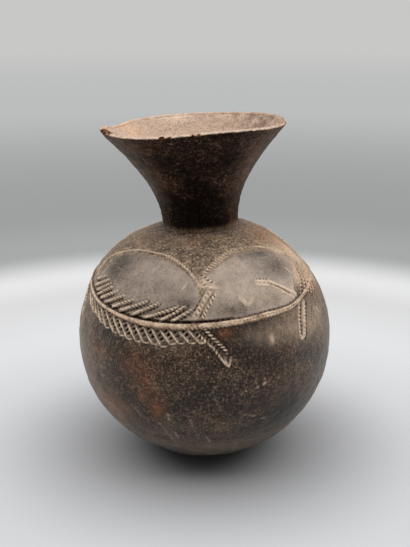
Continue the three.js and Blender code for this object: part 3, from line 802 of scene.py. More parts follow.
def cord_marks(points, normals, angles, heights, relief, tones):
    """Everything pressed into the shoulder, in the order of the work: panels, arches, ropes, hatching, pendants
    and the strips on the right."""
    skin = Skin(points, normals, angles, heights, relief, tones)
    draw, follow_band = skin.draw, skin.follow_band
    height = heights[:, None]
    smoked, smoked_shoulder, tan, crossing, dust = (patches(angles[None, :], height, spots) for spots in (
        SMOKED_PANELS, SMOKED_SHOULDER, TAN_RIGHT, RUBBED_CROSSING, DUSTY_PANEL))
    panel = panel_share(angles, heights)
    above = ease(height - band_height(angles), 2, 8)
    skin.relief += -0.45 * panel + (1 - panel) * above * 0.07 * waver(points, 3.2, 31)
    tones["burnished"] = np.clip(tones["burnished"] * (1 - panel) + panel * (0.92 + 0.04 * skin.hand), 0, 1)
    smoked = smoked * panel
    turn = (angles[None, :] + 180) % 360 - 180
    roped = ease(-turn, 2, 10) * ease(84 + turn, 0, 10) * ease(band_height(angles) + 14 - height, 0, 5) * panel
    tones["burnished"] *= (1 - smoked) * (1 - 0.7 * roped)
    tones["dusty"] = np.clip(tones["dusty"] + 0.42 * roped, 0, 1)
    spandrel = above * (1 - panel)
    rough = 0.5 + 0.5 * np.clip(waver(points, 7, 32), -1, 1)
    settled = (0.74 + 0.42 * rough) * spandrel * ease(np.abs(height - 190), 0, 3)
    tones["dusty"] = np.clip(tones["dusty"] + settled, 0, 1)
    blotches = 0.28 * np.clip(waver(points, 6, 36) - 0.5, 0, 1) + 0.7 * np.clip(waver(points, 2.2, 35) - 0.8, 0, 1)
    tones["pitted"] = np.maximum(tones["pitted"], np.clip(blotches, 0, 0.75) * spandrel)
    tones["oxidised"] = np.clip(tones["oxidised"] * (1 - 0.8 * panel), 0, 1)
    tones["sandy"] = np.clip(tones["sandy"] * (1 - 0.7 * panel) + spandrel + (0.22 + 0.5 * smoked) * panel, 0, 1)
    worn = 0.6 * np.clip(waver(points, 1.9, 37) - 0.8, 0, 1) * spandrel
    tones["rubbed"] = np.maximum(np.maximum(tones["rubbed"], worn), tan * (1 - panel))
    tones["sooted"] = np.clip(tones["sooted"] + smoked_shoulder * (1 - panel) + 0.5 * smoked ** 1.5, 0, 1)

    # The furrow above the band, cut deepest in front and dotted towards the left, and the marks along its foot
    follow_band(2.9, -34, 14, -1.2, 1.20, -0.85)
    follow_band(2.9, -34, 14, -0.4, 1.20, -1.30, pitch=3.9, fill=0.7)
    follow_band(2.5, 8, 54, -0.35, 0.70, -0.35)
    follow_band(2.5, 10, 54, -0.35, 0.80, -0.75, pitch=4.2, fill=0.6)
    follow_band(2.9, -78, 8, -0.9, 1.0, -1.1, pitch=3.1, fill=0.75)
    follow_band(3.2, 100, 282, -0.8, 0.8, -0.7)
    for i in range(5):
        path = ((68 + 3.4 * i, 163.0 - i), (62 + 3.4 * i, 154.0 - i), (55.5 + 3.4 * i, 147.0 - i))
        draw(path, 0.45, 1.1, 1.2, pitch=3.4, fill=0.60, phase=i / 2)
        draw(path, -0.9, 1.1, -1.3, aside=2.0, pitch=3.4, fill=0.60, phase=i / 2)

    # Arches: a thin ridge that turns into rope, and a ladder of short bars up the left of the right one
    draw(LEFT_ARCH[:12], 0.5, 0.8, 1.05)
    draw(LEFT_ARCH[11:], 0.25, 1.0, 0.60)
    draw(LEFT_ARCH[11:], **ROPED)
    draw(RIGHT_ARCH[:7], -0.30, 2.9, 0.35)
    skin.cord(RIGHT_ARCH[:7], (0.75, 2.5, 1.25, 0.66), (-0.5, 1.6, -0.9, 0.34), pitch=2.7, slant=0.25)
    draw(RIGHT_ARCH[6:9], **ROPED)
    draw(RIGHT_ARCH[8:], 0.5, 0.85, 1.1)
    for arch in (BACK_RIGHT_ARCH, BACK_LEFT_ARCH):
        draw(arch, 0.5, 0.85, 0.85)
    draw(BACK_ARCH, **ROPED)
    draw(((57.5, 165.5), (57.7, 163.1), (60.4, 160.5)), 0.5, 0.75, 1.0)

    for start, end in ROPE_LINES:
        rope(skin, start, end)
    for start, end in HATCH_ROWS:
        hatch_row(skin, start, end)
    for angle in (-2.1, 149.0, 230.0, 272.0):
        pendant(skin, angle, band_height(angle) - 5.0)

    # Cross-over of the two front arches: a roped row and a row of dashes run down to the band
    rows = (((2.3, 161.1), (0.6, 158.2), (-1.4, 153.4), (-3.3, 149.1), (-5.6, 143.6)),
            ((4.8, 160.5), (2.6, 157.6), (0.5, 153.4), (-1.5, 148.5), (-3.3, 143.2)),
            ((7.2, 158.6), (4.8, 154.5), (2.7, 150.3), (1.2, 146.6), (-0.2, 142.4)))
    draw(rows[1], -0.3, 4.8, 0.50)
    draw(rows[0], -0.4, 0.9, -0.40)
    draw(rows[0], -0.4, 0.9, -0.80, pitch=4.1, fill=0.5)
    draw(rows[1], 0.25, 2.0, 0.70)
    skin.cord(rows[1], (0.50, 1.4, 1.25, 0.52), (-0.50, 1.6, -0.70, 0.34), pitch=3.7, slant=-0.6)
    draw(rows[1], -0.5, 0.9, -0.45, aside=2.7)
    draw(rows[1], -0.3, 0.9, -0.70, aside=2.7, pitch=3.3, fill=0.5)
    skin.cord(rows[2], (0.65, 1.5, 1.35, 0.60), (-0.6, 1.2, -0.90, 0.36), pitch=3.3, slant=-0.7)
    tones["rubbed"] = np.maximum(tones["rubbed"], crossing * np.clip(0.8 + 0.5 * waver(points, 3.0, 33), 0, 1))
    tones["pitted"] = np.maximum(tones["pitted"], crossing * np.clip(waver(points, 2.2, 34) - 0.8, 0, 0.8))
    draw(((-1.8, 162.7), (2.9, 162.3), (8.6, 161.6)), 0.5, 1.2, 1.30)
    for knot in (((-2.0, 166.4), (1.5, 163.6), (4.6, 160.6)), ((0.4, 168.8), (4.4, 166.0), (8.8, 163.6))):
        skin.cord(knot, (0.50, 1.3, 1.25, 0.60), (-0.6, 1.1, -0.95, 0.34), pitch=3.0, slant=-0.5)
    for angle in (149.5, 213.8):
        draw(((angle, 160.0), (angle - 2.0, 152.0), (angle - 4.0, 147.0)), **ROPED)
        draw(((angle + 3.4, 160.0), (angle + 1.4, 152.0), (angle - 0.6, 147.0)), **DASHES)

    # Right panel: a double strip of beads that slants down to the band
    upper = ((30.8, 163.0), (34.4, 162.3), (39.4, 161.2), (43.2, 157.7), (47.1, 153.9), (51.6, 150.3), (53.0, 148.3))
    lower = ((30.0, 161.3), (33.3, 160.1), (38.3, 159.3), (42.2, 156.0), (45.4, 152.4), (50.2, 146.6))
    draw(upper, 0.50, 1.35, 1.15)
    draw(lower, 0.50, 1.20, 1.25)
    draw(upper[:3], 0.40, 2.6, 1.2, aside=-0.8, pitch=3.2, fill=0.62)
    furrow = ((37.3, 160.1), (41.5, 157.5), (45.4, 153.7), (48.7, 149.9))
    draw(furrow, -0.6, 0.75, -0.55)
    draw(furrow, -0.5, 0.80, -1.0, pitch=4.3, fill=0.6)
    draw(upper[:3], -0.5, 0.7, -0.55, aside=2.1, pitch=3.0, fill=0.7)
    draw(((41.5, 154.2), (45.7, 150.9)), 0.35, 0.75, 1.1)

    # Right of the front: two rows of cord dashes hang from the band to a bright tip, with fainter ones beside them
    hanging = (((51.2, 142.6), (48.7, 137.2), (47.0, 132.1), (46.0, 126.7), (45.4, 122.4), (45.8, 118.5)),
               ((55.5, 142.3), (52.9, 136.8), (50.7, 130.4), (49.5, 125.0), (48.6, 120.9), (46.7, 117.6)))
    draw(hanging[1], 0.30, 2.0, 0.75, aside=-0.4)
    draw(hanging[0], 0.25, 1.2, 0.60)
    draw(hanging[0], 0.45, 1.1, 1.20, pitch=3.0, slant=0.5, fill=0.62)
    draw(hanging[1], 0.35, 1.5, 1.20, pitch=3.0, slant=0.5, fill=0.66)
    draw(hanging[0], -0.9, 0.9, -1.35, aside=1.9, pitch=3.3, fill=0.74)
    draw(hanging[1], -0.9, 1.0, -1.25, aside=2.4, pitch=3.3, fill=0.80)
    draw(((45.2, 120.6), (46.2, 117.5), (48.0, 120.4)), 0.6, 1.4, 1.2)
    draw(((63.5, 134.0), (66.0, 128.7)), 0.4, 0.7, 1.0)
    for path in (
        ((60.5, 140.8), (57.4, 134.7), (54.4, 127.5)), ((64.9, 138.7), (60.8, 130.5)), ((70, 141), (66.5, 134)),
    ):
        draw(path, 0.3, 0.8, 0.55, pitch=2.5, fill=0.7)
        draw(path, -0.4, 0.7, -0.6, aside=1.8, pitch=2.5, fill=0.7)

    # Scratches and knocks of use
    draw(((-10.1, 160.2), (-7.9, 165.0)), 0.1, 0.6, 1.0)
    draw(((18.0, 156.4), (20.4, 152.0), (21.8, 149.4)), 0.15, 1.9, 0.68)
    draw(((21.8, 149.6), (24.0, 151.2), (25.4, 153.8)), 0.15, 1.6, 0.68)
    draw(((21.8, 149.1), (21.2, 146.0)), 0.1, 0.5, 0.4)
    tones["dusty"] = np.clip(tones["dusty"] + dust, 0, 1)
    return np.minimum(np.clip(skin.relief, GROOVE_LIMIT, RIDGE_LIMIT), spare(height))


marked_angles = around(0.24, 0.4)
body_coil("upper_belly", "upper_belly_coil",
          np.concatenate([climb(outer_radius, LOWER_BELLY_TOP, DRAWN_FROM, 1.1)[:-1],
                          climb(outer_radius, DRAWN_FROM, UPPER_BELLY_TOP, 0.55)]),
          marked_angles, cord_marks)


# Lower shoulder: the coil that carries the band, and with it the rolls above it, the hatching under it and the
# strips on the right, all pressed in while the clay was soft.
body_coil("lower_shoulder", "lower_shoulder_coil",
          climb(outer_radius, UPPER_BELLY_TOP, LOWER_SHOULDER_TOP, 0.5), marked_angles, cord_marks)


# Upper shoulder: the coil that closes the body in to the seat of the neck. The arches are drawn on it, with
# burnished panels under them and rough, dusty clay between them and the neck.
NECK_WALL = 6.2
THROAT_RADIUS = NECK_ROOT_RADIUS - NECK_WALL
CAVITY_RISE = DOME_RISE - SHOULDER_THICKNESS
THROAT_HEIGHT = BELLY_HEIGHT + CAVITY_RISE * (
    1 - (THROAT_RADIUS / (BELLY_RADIUS - BODY_WALL)) ** UPPER_FULLNESS) ** (1 / UPPER_FULLNESS)

closing_angles = around(0.32, 0.52)
seat_row = lean(spun(np.array([THROAT_RADIUS]), np.array([SEAT_HEIGHT]), closing_angles[::4]))[0]


def seated_marks(points, normals, angles, heights, relief, tones):
    """The drawing, which dies out at the neck's seat, and a darkening in the crease round the seat that is partly dirt
    and partly painted shade.
    """
    at_seat = ease(heights, SEAT_HEIGHT - 0.8, SEAT_HEIGHT)[:, None]
    relief = cord_marks(points, normals, angles, heights, relief, tones)
    # Painted shade, with dirt, in the crease round the seat
    tones["pitted"] = np.maximum(tones["pitted"], 0.5 * at_seat)
    return relief * (1 - at_seat)


body_coil("upper_shoulder", "upper_shoulder_coil",
          np.concatenate([climb(outer_radius, LOWER_SHOULDER_TOP, DRAWN_TO, 0.58)[:-1],
                          climb(outer_radius, DRAWN_TO, SEAT_HEIGHT, 0.9)]),
          closing_angles, seated_marks, [seat_row], THROAT_HEIGHT, 4.0)


# Band: a strip of clay rolled out, pressed on round the shoulder over the joint of two coils, and marked with
# a twisted cord. It stands proud, so handling has rubbed it pale; its upper half is painted paler still as a
# highlight, and the crease along its edges darker with dirt and painted shade.
BAND_WIDTH = 4.5
BAND_RELIEF = 1.3
BAND_SINK = 0.9
BAND_DROP = 0.3
BAND_ROWS = 29
# Length along the band of one turn of the cord at the left, and of one bead at the right
NICK_PITCH = 2.9
BEAD_PITCH = 2.5

band_angles = around(0.2, 0.3)
band_turn = np.radians(band_angles)[None, :]
band_middle = band_height(band_angles)[None, :] - BAND_DROP
band_front = (band_angles + 180) % 360 - 180
# Share by which the strip is thinner: towards the left end, and more on the right
band_thin = 0.36 * ease(-band_front, 15, 55) * ease(180 + band_front, 20, 80)
band_thin = (band_thin + 0.45 * ease(band_front, 25, 65) * ease(170 - band_front, 20, 80))[None, :]
band_half = (BAND_WIDTH / 2) * (1 - band_thin)
band_across = band_half * np.sin(np.linspace(-1, 1, BAND_ROWS) * np.pi / 2)[:, None]
band_slope = outer_radius(band_middle + 0.5) - outer_radius(band_middle - 0.5)
band_stretch = np.hypot(band_slope, 1)
band_along = band_turn * BAND_ARC
band_foot = on_body(np.broadcast_to(band_angles, band_across.shape), band_middle + band_across / band_stretch)
band_out = np.stack([np.sin(band_turn), -np.cos(band_turn), -band_slope], -1) / band_stretch[..., None]
band_hand, band_drift, band_grit = (waver(band_foot, size, seed) for size, seed in ((8, 41), (20, 42), (2.4, 43)))
left_part = ease(-band_front, -20, -8)[None, :]
swell = np.sqrt(np.maximum(0, 1 - (band_across / band_half) ** 2))

# Slanted nicks of the cord from the left end to the front, and then two rows of beads with dots between them
cell = ((band_along + 1.1 * band_across + 0.4 * band_hand) / NICK_PITCH) % 1 - 0.5
nicks = np.clip(1.4 - (cell / 0.22) ** 2, 0, 1) * (0.25 + 0.75 * ease(-band_across, -0.6, 1.6)) * left_part
cell = ((band_along + 0.2 * band_hand) / BEAD_PITCH) % 1 - 0.5
dots = np.clip(1.5 * (1 - (band_across / 0.85) ** 2 - (cell / 0.34) ** 2), 0, 1) * (1 - left_part)
beads = (0.5 - 0.5 * np.cos(4 * np.pi * cell)) * ease(np.abs(band_across), 0.8, 1.4) * (1 - left_part)
valley = np.clip(1 - np.abs(band_across) / 0.9, 0, 1) * (1 - left_part)
band_rise = BAND_RELIEF * swell * (0.93 + 0.05 * band_drift) * (1 - 0.8 * band_thin)
band_rise = band_rise - 0.35 * nicks * swell - 0.35 * dots - 0.32 * beads * swell - 0.3 * valley
band_rise = np.minimum(band_rise - 0.10 * np.abs(band_grit) * swell, BAND_RELIEF)
band_points = band_foot + band_out * band_rise[..., None]
# Rubbed pale along the crest, and paler over the upper half as a painted highlight
crest = 0.70 + 0.45 * ease(band_across / band_half, -0.75, 0.1)
crest = crest * swell ** 0.5 * (0.94 + 0.24 * band_hand + 0.16 * band_grit)
# Dirt in the cord's nicks, and painted shade in the crease along both edges of the band
edge_dirt_and_shade = 0.6 * nicks * (1 - swell ** 2) + (0.25 + 0.7 * left_part) * (1 - swell) ** 1.5
band_tones = {
    "rubbed": np.clip(crest - 0.5 * nicks - 0.3 * dots - 0.42 * beads - 0.2 * valley, 0, 1),
    "pitted": np.clip(0.35 * dots + edge_dirt_and_shade + 0.35 * beads, 0, 1),
    "oxidised": np.clip(0.35 + 0.25 * band_drift, 0, 1),
    "dusty": np.full(band_rise.shape, 0.4),
}
back_points = band_foot[::-4] - band_out[::-4] * BAND_SINK
band_rows = [*lean(band_points), *lean(back_points)]
band_row_tones = by_row(band_tones, BAND_ROWS) + [{"dusty": 1.0}] * len(back_points)
# The same clay rubbed bare by hands: paler, drier and rougher, with dirt and painted shade in its marks
RubbedClay = fired_clay("RubbedEarthenware", "#5d4636", "#927661", 0.62, 0.30, 0.22)
band = clay_piece("band", band_rows, band_row_tones, True, (), RubbedClay)
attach(band, "root")
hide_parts("shoulder_band")


# Neck: three coils set on the shoulder and drawn out into a funnel, scraped upwards with a stick. Soot from
# years by the hearth has blackened it outside, and painted shade blackens its front and root further; the inside
# stayed pale and dusty.
FUNNEL_HEIGHT = 76.8
MOUTH_RADIUS = 73.2
NECK_STRAIGHTNESS = 36.7
LIP_UPTURN = 8.0
LIP_UPTURN_ANGLE = math.radians(31.7)
LIP_WALL = 4.8
LIP_CROWN = 1.5
NECK_ROOT_COIL = 26.0
NECK_COIL = 20.0
FUNNEL_COIL = 16.0
MOUTH_HEIGHT = NECK_ROOT_HEIGHT + FUNNEL_HEIGHT
# How black the soot and painted shade are at the neck's root, under the funnel's overhang, and at its mouth
ROOT_SOOT_AND_SHADE = 1.0
MOUTH_SOOT_AND_SHADE = 0.6

FUNNEL_POLES = np.array([
    (NECK_ROOT_RADIUS, NECK_ROOT_HEIGHT),
    (NECK_ROOT_RADIUS, NECK_ROOT_HEIGHT + NECK_STRAIGHTNESS),
    (MOUTH_RADIUS - LIP_UPTURN * math.sin(LIP_UPTURN_ANGLE),
     MOUTH_HEIGHT - LIP_UPTURN * math.cos(LIP_UPTURN_ANGLE)),
    (MOUTH_RADIUS, MOUTH_HEIGHT),
])


def funnel_outside(t):
    """The funnel's outer line, a cubic Bezier curve from the neck's root to the lip: radius and height."""
    t = np.asarray(t, float)[..., None]
    a, b, c, d = FUNNEL_POLES
    return a * (1 - t) ** 3 + 3 * b * (1 - t) ** 2 * t + 3 * c * (1 - t) * t ** 2 + d * t ** 3


def funnel_inside(t):
    """The same line on the inside, one wall away along its normal, with the wall thinning towards the lip."""
    t = np.asarray(t, float)
    a, b, c, d = FUNNEL_POLES
    s = t[..., None]
    along = (b - a) * (1 - s) ** 2 + 2 * (c - b) * (1 - s) * s + (d - c) * s ** 2
    along /= np.linalg.norm(along, axis=-1, keepdims=True)
    wall = (NECK_WALL + (LIP_WALL - NECK_WALL) * t)[..., None]
    return funnel_outside(t) + wall * np.stack([-along[..., 1], along[..., 0]], -1)


def funnel_place(height, line):
    """Where along the funnel one of its lines reaches a height, read off a fine table of it."""
    t = np.linspace(0, 1, 20001)
    return float(np.interp(height, line(t)[:, 1], t))


ROOT_TOP = funnel_place(NECK_ROOT_HEIGHT + NECK_ROOT_COIL, funnel_outside)
NECK_TOP = funnel_place(NECK_ROOT_HEIGHT + NECK_ROOT_COIL + NECK_COIL, funnel_outside)
FUNNEL_TOP = funnel_place(NECK_ROOT_HEIGHT + NECK_ROOT_COIL + NECK_COIL + FUNNEL_COIL, funnel_outside)
neck_angles = around(0.5, 0.5)


def neck_tones(points):
    """Soot on the neck, with painted shade in it: blackest in front, away from the light, and over the root under
    the funnel's overhang, thinner up the funnel and at the sides, in clouds that wiping drew out level. Fire has
    reddened it in three places, and few sand grains show through the blackest."""
    height = points[..., 2]
    turn = np.degrees(np.arctan2(points[..., 0], -points[..., 1]))
    # Painted shade: blacker low down, under the funnel's overhang
    soot = ROOT_SOOT_AND_SHADE + (MOUTH_SOOT_AND_SHADE - ROOT_SOOT_AND_SHADE) * ease(height, NECK_ROOT_HEIGHT, MOUTH_HEIGHT)
    soot = soot + 0.12 * waver(points, 26, 51) + 0.07 * waver(points, 8, 52)
    soot = soot + 0.06 * waver(points * (1, 1, 3), 6, 57)
    soot = soot + 0.07 * waver(points * (1, 1, 8), 16, 58) * ease(height, SEAT_HEIGHT + 20, SEAT_HEIGHT + 45)
    # Painted shade: blacker in front, away from the light, than at the sides
    soot = soot * (0.98 - 0.44 * ease(np.abs(turn), 26, 62)) * ease(height, SEAT_HEIGHT + 0.5, SEAT_HEIGHT + 5)
    warm = 0.05 * hump(turn, 10, 16) + 0.20 * hump(turn, 50, 16)
    warm = warm + 0.20 * hump(turn, -34, 14) * ease(height, SEAT_HEIGHT + 15, SEAT_HEIGHT + 35)
    return {
        "sooted": np.clip(soot, 0, 1),
        "dusty": 0.55 * ease(height, SEAT_HEIGHT + 7, SEAT_HEIGHT) + 0.10 * ease(np.abs(turn), 40, 80),
        "burnished": 0.20 * ease(np.abs(turn), 25, 60) * ease(height, SEAT_HEIGHT + 10, SEAT_HEIGHT + 40),
        "oxidised": np.clip(warm, 0, 1),
        "sandy": 0.05 - 0.12 * ease(np.abs(turn), 60, 30),
    }


def neck_relief(points, height):
    """Unevenness of the neck in mm: slow waves, faint level rings from wiping, and upward scrapes."""
    turn = np.arctan2(points[..., 0], points[..., 1])
    rings = 0.06 * np.sin(height * 1.1 + 1.2 * waver(points, 40, 53))
    scrapes = 0.03 * np.sin(46 * turn + 2.5 * waver(points, 30, 54))
    return 0.11 * waver(points, 24, 55) + 0.06 * waver(points, 6, 56) + rings + scrapes


def neck_coil(name, node, outside, inside):
    """A coil of the neck: its outer line going up and its inner line coming down, with rows along both."""
    rows, row_tones = [], []
    for line in (outside, inside):
        points = spun(line[:, 0], line[:, 1], neck_angles)
        along = np.linspace(0, 1, len(line))
        free = (ease(along, 0, 0.12) * ease(1 - along, 0, 0.12))[:, None, None]
        relief = neck_relief(points, points[..., 2])[..., None]
        points += facing(line[:, 0], line[:, 1], neck_angles) * relief * free
        tones = neck_tones(points) if line is outside else {"inside": np.ones(points.shape[:2])}
        rows += list(lean(points))
        row_tones += by_row(tones, len(line))
    last = len(outside) - 1
    piece = clay_piece(name, rows, row_tones, True, (0, last, last + 1, len(rows) - 1), SootedClay)
    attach(piece, "root")
    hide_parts(node)
    return piece


# The same clay under hearth soot: nearly black outside and dull, with hardly any sheen
SootedClay = fired_clay("SootedEarthenware", "#1b0f09", "#957663", 0.60, 0.03, 0.05)
collar = np.array([(NECK_ROOT_RADIUS, z) for z in np.linspace(SEAT_HEIGHT, NECK_ROOT_HEIGHT, 5)[:-1]])
root_outside = np.concatenate([collar, funnel_outside(np.linspace(0, ROOT_TOP, 30))])
root_inside = np.concatenate([
    funnel_inside(np.linspace(ROOT_TOP, 0, 24)),
    [(THROAT_RADIUS, (SEAT_HEIGHT + NECK_ROOT_HEIGHT) / 2), (THROAT_RADIUS, SEAT_HEIGHT)],
])
neck_coil("neck_root", "neck_root_coil", root_outside, root_inside)
neck_coil("neck", "neck_coil", funnel_outside(np.linspace(ROOT_TOP, NECK_TOP, 26)),
          funnel_inside(np.linspace(NECK_TOP, ROOT_TOP, 20)))
neck_coil("funnel", "funnel_coil", funnel_outside(np.linspace(NECK_TOP, FUNNEL_TOP, 28)),
          funnel_inside(np.linspace(FUNNEL_TOP, NECK_TOP, 22)))


# Rim: the last coil, thinned and wiped to a rounded lip that rises and falls by a millimetre or two. Knocks have
# chipped it, worst at the left end, and the bare red-brown clay shows in the breaks.

# Waves of the lip's height and radius: how many go round, size in mm, and where each is highest, in degrees
RIM_HEIGHT_WAVES = ((1, 1.1, -154.7), (3, 0.57, 50.5), (4, 0.52, 12.4))
RIM_RADIUS_WAVES = ((1, 1.24, -150), (2, 0.98, 71.1), (3, 0.44, -18.9), (4, 0.52, -40.4))
UNEVEN_FROM = float(funnel_inside(FUNNEL_TOP)[1])
# Chips: angle, how far in from the lip's outer edge, how far above it, and radius, mm
CHIPS = (
    (-70, -2.4, 1.0, 4.4), (-76, -1.8, 1.8, 3.4), (-64, -0.4, 2.6, 2.7), (-60, 2.4, 2.1, 1.4),
    (-49, 3.4, 2.2, 1.5), (-17, -1.2, 0.4, 3.0), (-13, -1.2, 0.8, 2.6), (0.5, -1.4, 0.2, 3.2),
    (3.5, -0.9, 0.8, 2.4), (33, -0.9, 1.0, 1.2), (62, 3.0, 2.0, 1.1), (73, 1.8, 1.9, 1.6), (79, 0.6, 1.7, 2.0),
    (85, 1.6, 1.9, 1.4), (121, -0.6, 0.3, 2.2), (188, -0.9, 0.2, 3.2), (195, 0.4, 1.2, 2.0),
    (246, -0.7, 0.6, 1.7),
)

inside_end = funnel_place(MOUTH_HEIGHT, funnel_inside)
inside_radius = float(funnel_inside(inside_end)[0])
crown_middle = (MOUTH_RADIUS + inside_radius) / 2
crown_turn = np.linspace(0, np.pi, 15)
crown = np.stack([crown_middle + (MOUTH_RADIUS - crown_middle) * np.cos(crown_turn),
                  MOUTH_HEIGHT + LIP_CROWN * np.sin(crown_turn)], -1)
rim_outside = funnel_outside(np.linspace(FUNNEL_TOP, 1, 28))[:-1]
rim_inside = funnel_inside(np.linspace(inside_end, FUNNEL_TOP, 26))[1:]
rim_line = np.concatenate([rim_outside, crown, rim_inside])
rim_angles = around(0.4, 0.5)
rim_front = (rim_angles + 180) % 360 - 180
rim_points = spun(rim_line[:, 0], rim_line[:, 1], rim_angles)
# Rows counted from the lip's outer edge, where its crown begins, and the rows that may move
from_lip = np.arange(len(rim_line)) - len(rim_outside)
free = ease(from_lip, from_lip[0], from_lip[0] + 4) * ease(from_lip[-1] - from_lip, 0, 4)
by_lip = ease(np.abs(from_lip - 7), 12, 6)
rim_facing = facing(rim_line[:, 0], rim_line[:, 1], rim_angles)
rim_relief = neck_relief(rim_points, rim_points[..., 2]) * (1 - by_lip)[:, None]
rim_relief += -by_lip[:, None] * np.abs(0.22 * waver(rim_points, 9, 61) + 0.16 * waver(rim_points, 3.5, 62))
rim_points += rim_facing * (rim_relief * free[:, None])[..., None]

# The lip rises and falls in slow waves, and dips where it was knocked at the left
share = np.clip((rim_points[..., 2] - UNEVEN_FROM) / (MOUTH_HEIGHT - UNEVEN_FROM), 0, 1) ** 2
rim_turn = np.arctan2(rim_points[..., 1], rim_points[..., 0])
wave = [sum(size * np.cos(count * (rim_turn - math.radians(crest))) for count, size, crest in waves)
        for waves in (RIM_RADIUS_WAVES, RIM_HEIGHT_WAVES)]
wave[1] = wave[1] - 2.4 * hump(rim_front, -117, 12) - 1.9 * hump(rim_front, -102, 9)
rim_radius = np.hypot(rim_points[..., 0], rim_points[..., 1]) + share * wave[0]
rim_points = np.stack([rim_radius * np.cos(rim_turn), rim_radius * np.sin(rim_turn),
                       rim_points[..., 2] + share * wave[1]], -1)

# Each chip is a ball that pushes the clay out of its way, and leaves it broken
broken = np.zeros(rim_points.shape[:2])
for angle, inward, up, size in CHIPS:
    turn = math.radians(angle)
    edge = rim_points[len(rim_outside), np.argmin(np.abs((rim_angles - angle + 180) % 360 - 180))]
    centre = edge + np.array([-inward * math.sin(turn), inward * math.cos(turn), up])
    away = rim_points - centre
    distance = np.linalg.norm(away, axis=-1, keepdims=True)
    bite = size * (1 + 0.16 * waver(rim_points, 3.0, 63) + 0.10 * waver(rim_points, 1.5, 64))[..., None]
    depth = np.maximum(0, bite - distance)
    rim_points += away / np.maximum(distance, 0.3) * depth * 0.85
    broken = np.maximum(broken, np.clip(depth[..., 0] / 0.5, 0, 1))

# Sooted outside, with the neck's painted shade; pale inside, with painted shade round its right side; rubbed
# along the lip, partly as a painted highlight; with a burn, partly a painted highlight, and a dark scar at the left
# end
outward = ease(3 - from_lip, 0, 4)[:, None]
rim_tones = {tone: value * outward for tone, value in neck_tones(rim_points).items()}
lip_edge = hump(from_lip, 2, 2.2)[:, None] * np.ones(len(rim_angles))
# Painted shade on the inside of the mouth round its right side
rim_inner_shade = 0.36 * hump(rim_front, 105, 50)
rim_inner_shade = rim_inner_shade * (1 + 0.3 * waver(rim_points, 14, 67)) + 0.07 * waver(rim_points, 6, 68)
rim_tones["inside"] = np.clip((1 - outward) * (1 - 0.6 * broken) * (1 - rim_inner_shade), 0, 1)
# Pale along the lip's crown: partly wear, partly a painted highlight
rim_tones["rubbed"] = np.clip(0.45 * lip_edge * (1 - broken) * (1 + 0.6 * waver(rim_points, 7, 65)), 0, 1)
upper_inside = (ease(from_lip, 10, 14) * ease(-from_lip, -30, -16))[:, None]
rim_tones["rubbed"] += 0.75 * upper_inside * hump(rim_front, -167, 9) * (1 - broken)
# A burn on the inside at the left, painted paler in part as a highlight
burn_and_highlight = (1 - outward) * hump(rim_front, -121, 7.5)
rim_tones["rubbed"] += 0.55 * burn_and_highlight
scar = np.exp(-((rim_front + 65) / 9) ** 4) * np.exp(-((from_lip - 3) / 10) ** 4)[:, None]
scar = np.clip(scar * (1.2 + 0.5 * waver(rim_points, 3.0, 69)), 0, 1)
broken = np.maximum(broken, scar)
rim_tones["inside"] = rim_tones["inside"] * (1 - 0.8 * scar)
rim_tones["rubbed"] = rim_tones["rubbed"] * (1 - scar)
rim_tones["pitted"] = np.clip(broken * (0.50 + 1.1 * waver(rim_points, 2.4, 66)), 0, 0.97)
orange = 0.30 * hump(rim_front, -90, 30) + 0.18 * hump(rim_front, 120, 40) + 0.40 * hump(rim_front, 77, 10)
reddened = 0.9 * broken + orange * by_lip[:, None] + 0.80 * burn_and_highlight
rim_tones["oxidised"] = np.clip(rim_tones["oxidised"] + reddened, 0, 1)
charred = scar * np.clip(0.40 + 0.6 * waver(rim_points, 3.2, 70), 0, 1)
rim_tones["sooted"] = np.maximum(rim_tones["sooted"], charred)
rim_tones["sandy"] = 0.55 * (1 - outward) * ease(rim_front, 20, 70) * ease(180 - rim_front, 20, 60)
rim = clay_piece("rim", list(lean(rim_points)), by_row(rim_tones, len(rim_line)), True,
                 (0, len(rim_line) - 1), SootedClay)
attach(rim, "root")
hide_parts("mouth_rim")


# Studio: a pale table top that fades into a grey paper far behind, a broad soft light from above and an even
# pale room. The ground is one disc, the same from every side, and keeps the jar's shadow, with a painted shadow
# round the jar's foot as well.
GROUND_RADIUS = 30.0
GROUND_RINGS = 60
GROUND_SIDES = 96
# Distance from the jar in metres and how bright the ground looks there. The darker greys within 0.2 m of the jar
# are a painted shadow round its foot.
GROUND_TONES = (
    (0.0, "#b2b3b5"), (0.09, "#bcbdbf"), (0.20, "#d6d7d9"), (0.30, "#d9dadc"), (0.40, "#dddddd"), (0.48, "#e8e8e8"),
    (0.62, "#a8aaaa"), (0.86, "#9fa1a0"), (2.6, "#bcbebe"), (8.0, "#c8c8c6"),
)
# Between these distances the table, which takes light and shadow, gives way to paper of an even brightness
TABLE_TO = 0.26
PAPER_FROM = 0.42
# Light of the room: how far along Y a direction points, and how strong the light from there is
ROOM_LIGHT = ((-0.8, 0.04), (0.4, 0.30))
# Size, height and power of the overhead light, in metres and watts
LAMP_SIZE = (5.0, 2.0)
LAMP_PLACE = (0.15, 0.10, 1.5)
LAMP_POWER = 58.0


def seen_directly(tree):
    """1 for rays from the camera, mirrors and glass, and 0 for light on its way to the jar."""
    seen = add(tree, "LightPath", out="Is Camera Ray")
    for kind in ("Is Glossy Ray", "Is Transmission Ray"):
        seen = add(tree, "Math", {0: seen, 1: add(tree, "LightPath", out=kind)}, operation="MAXIMUM")
    return seen


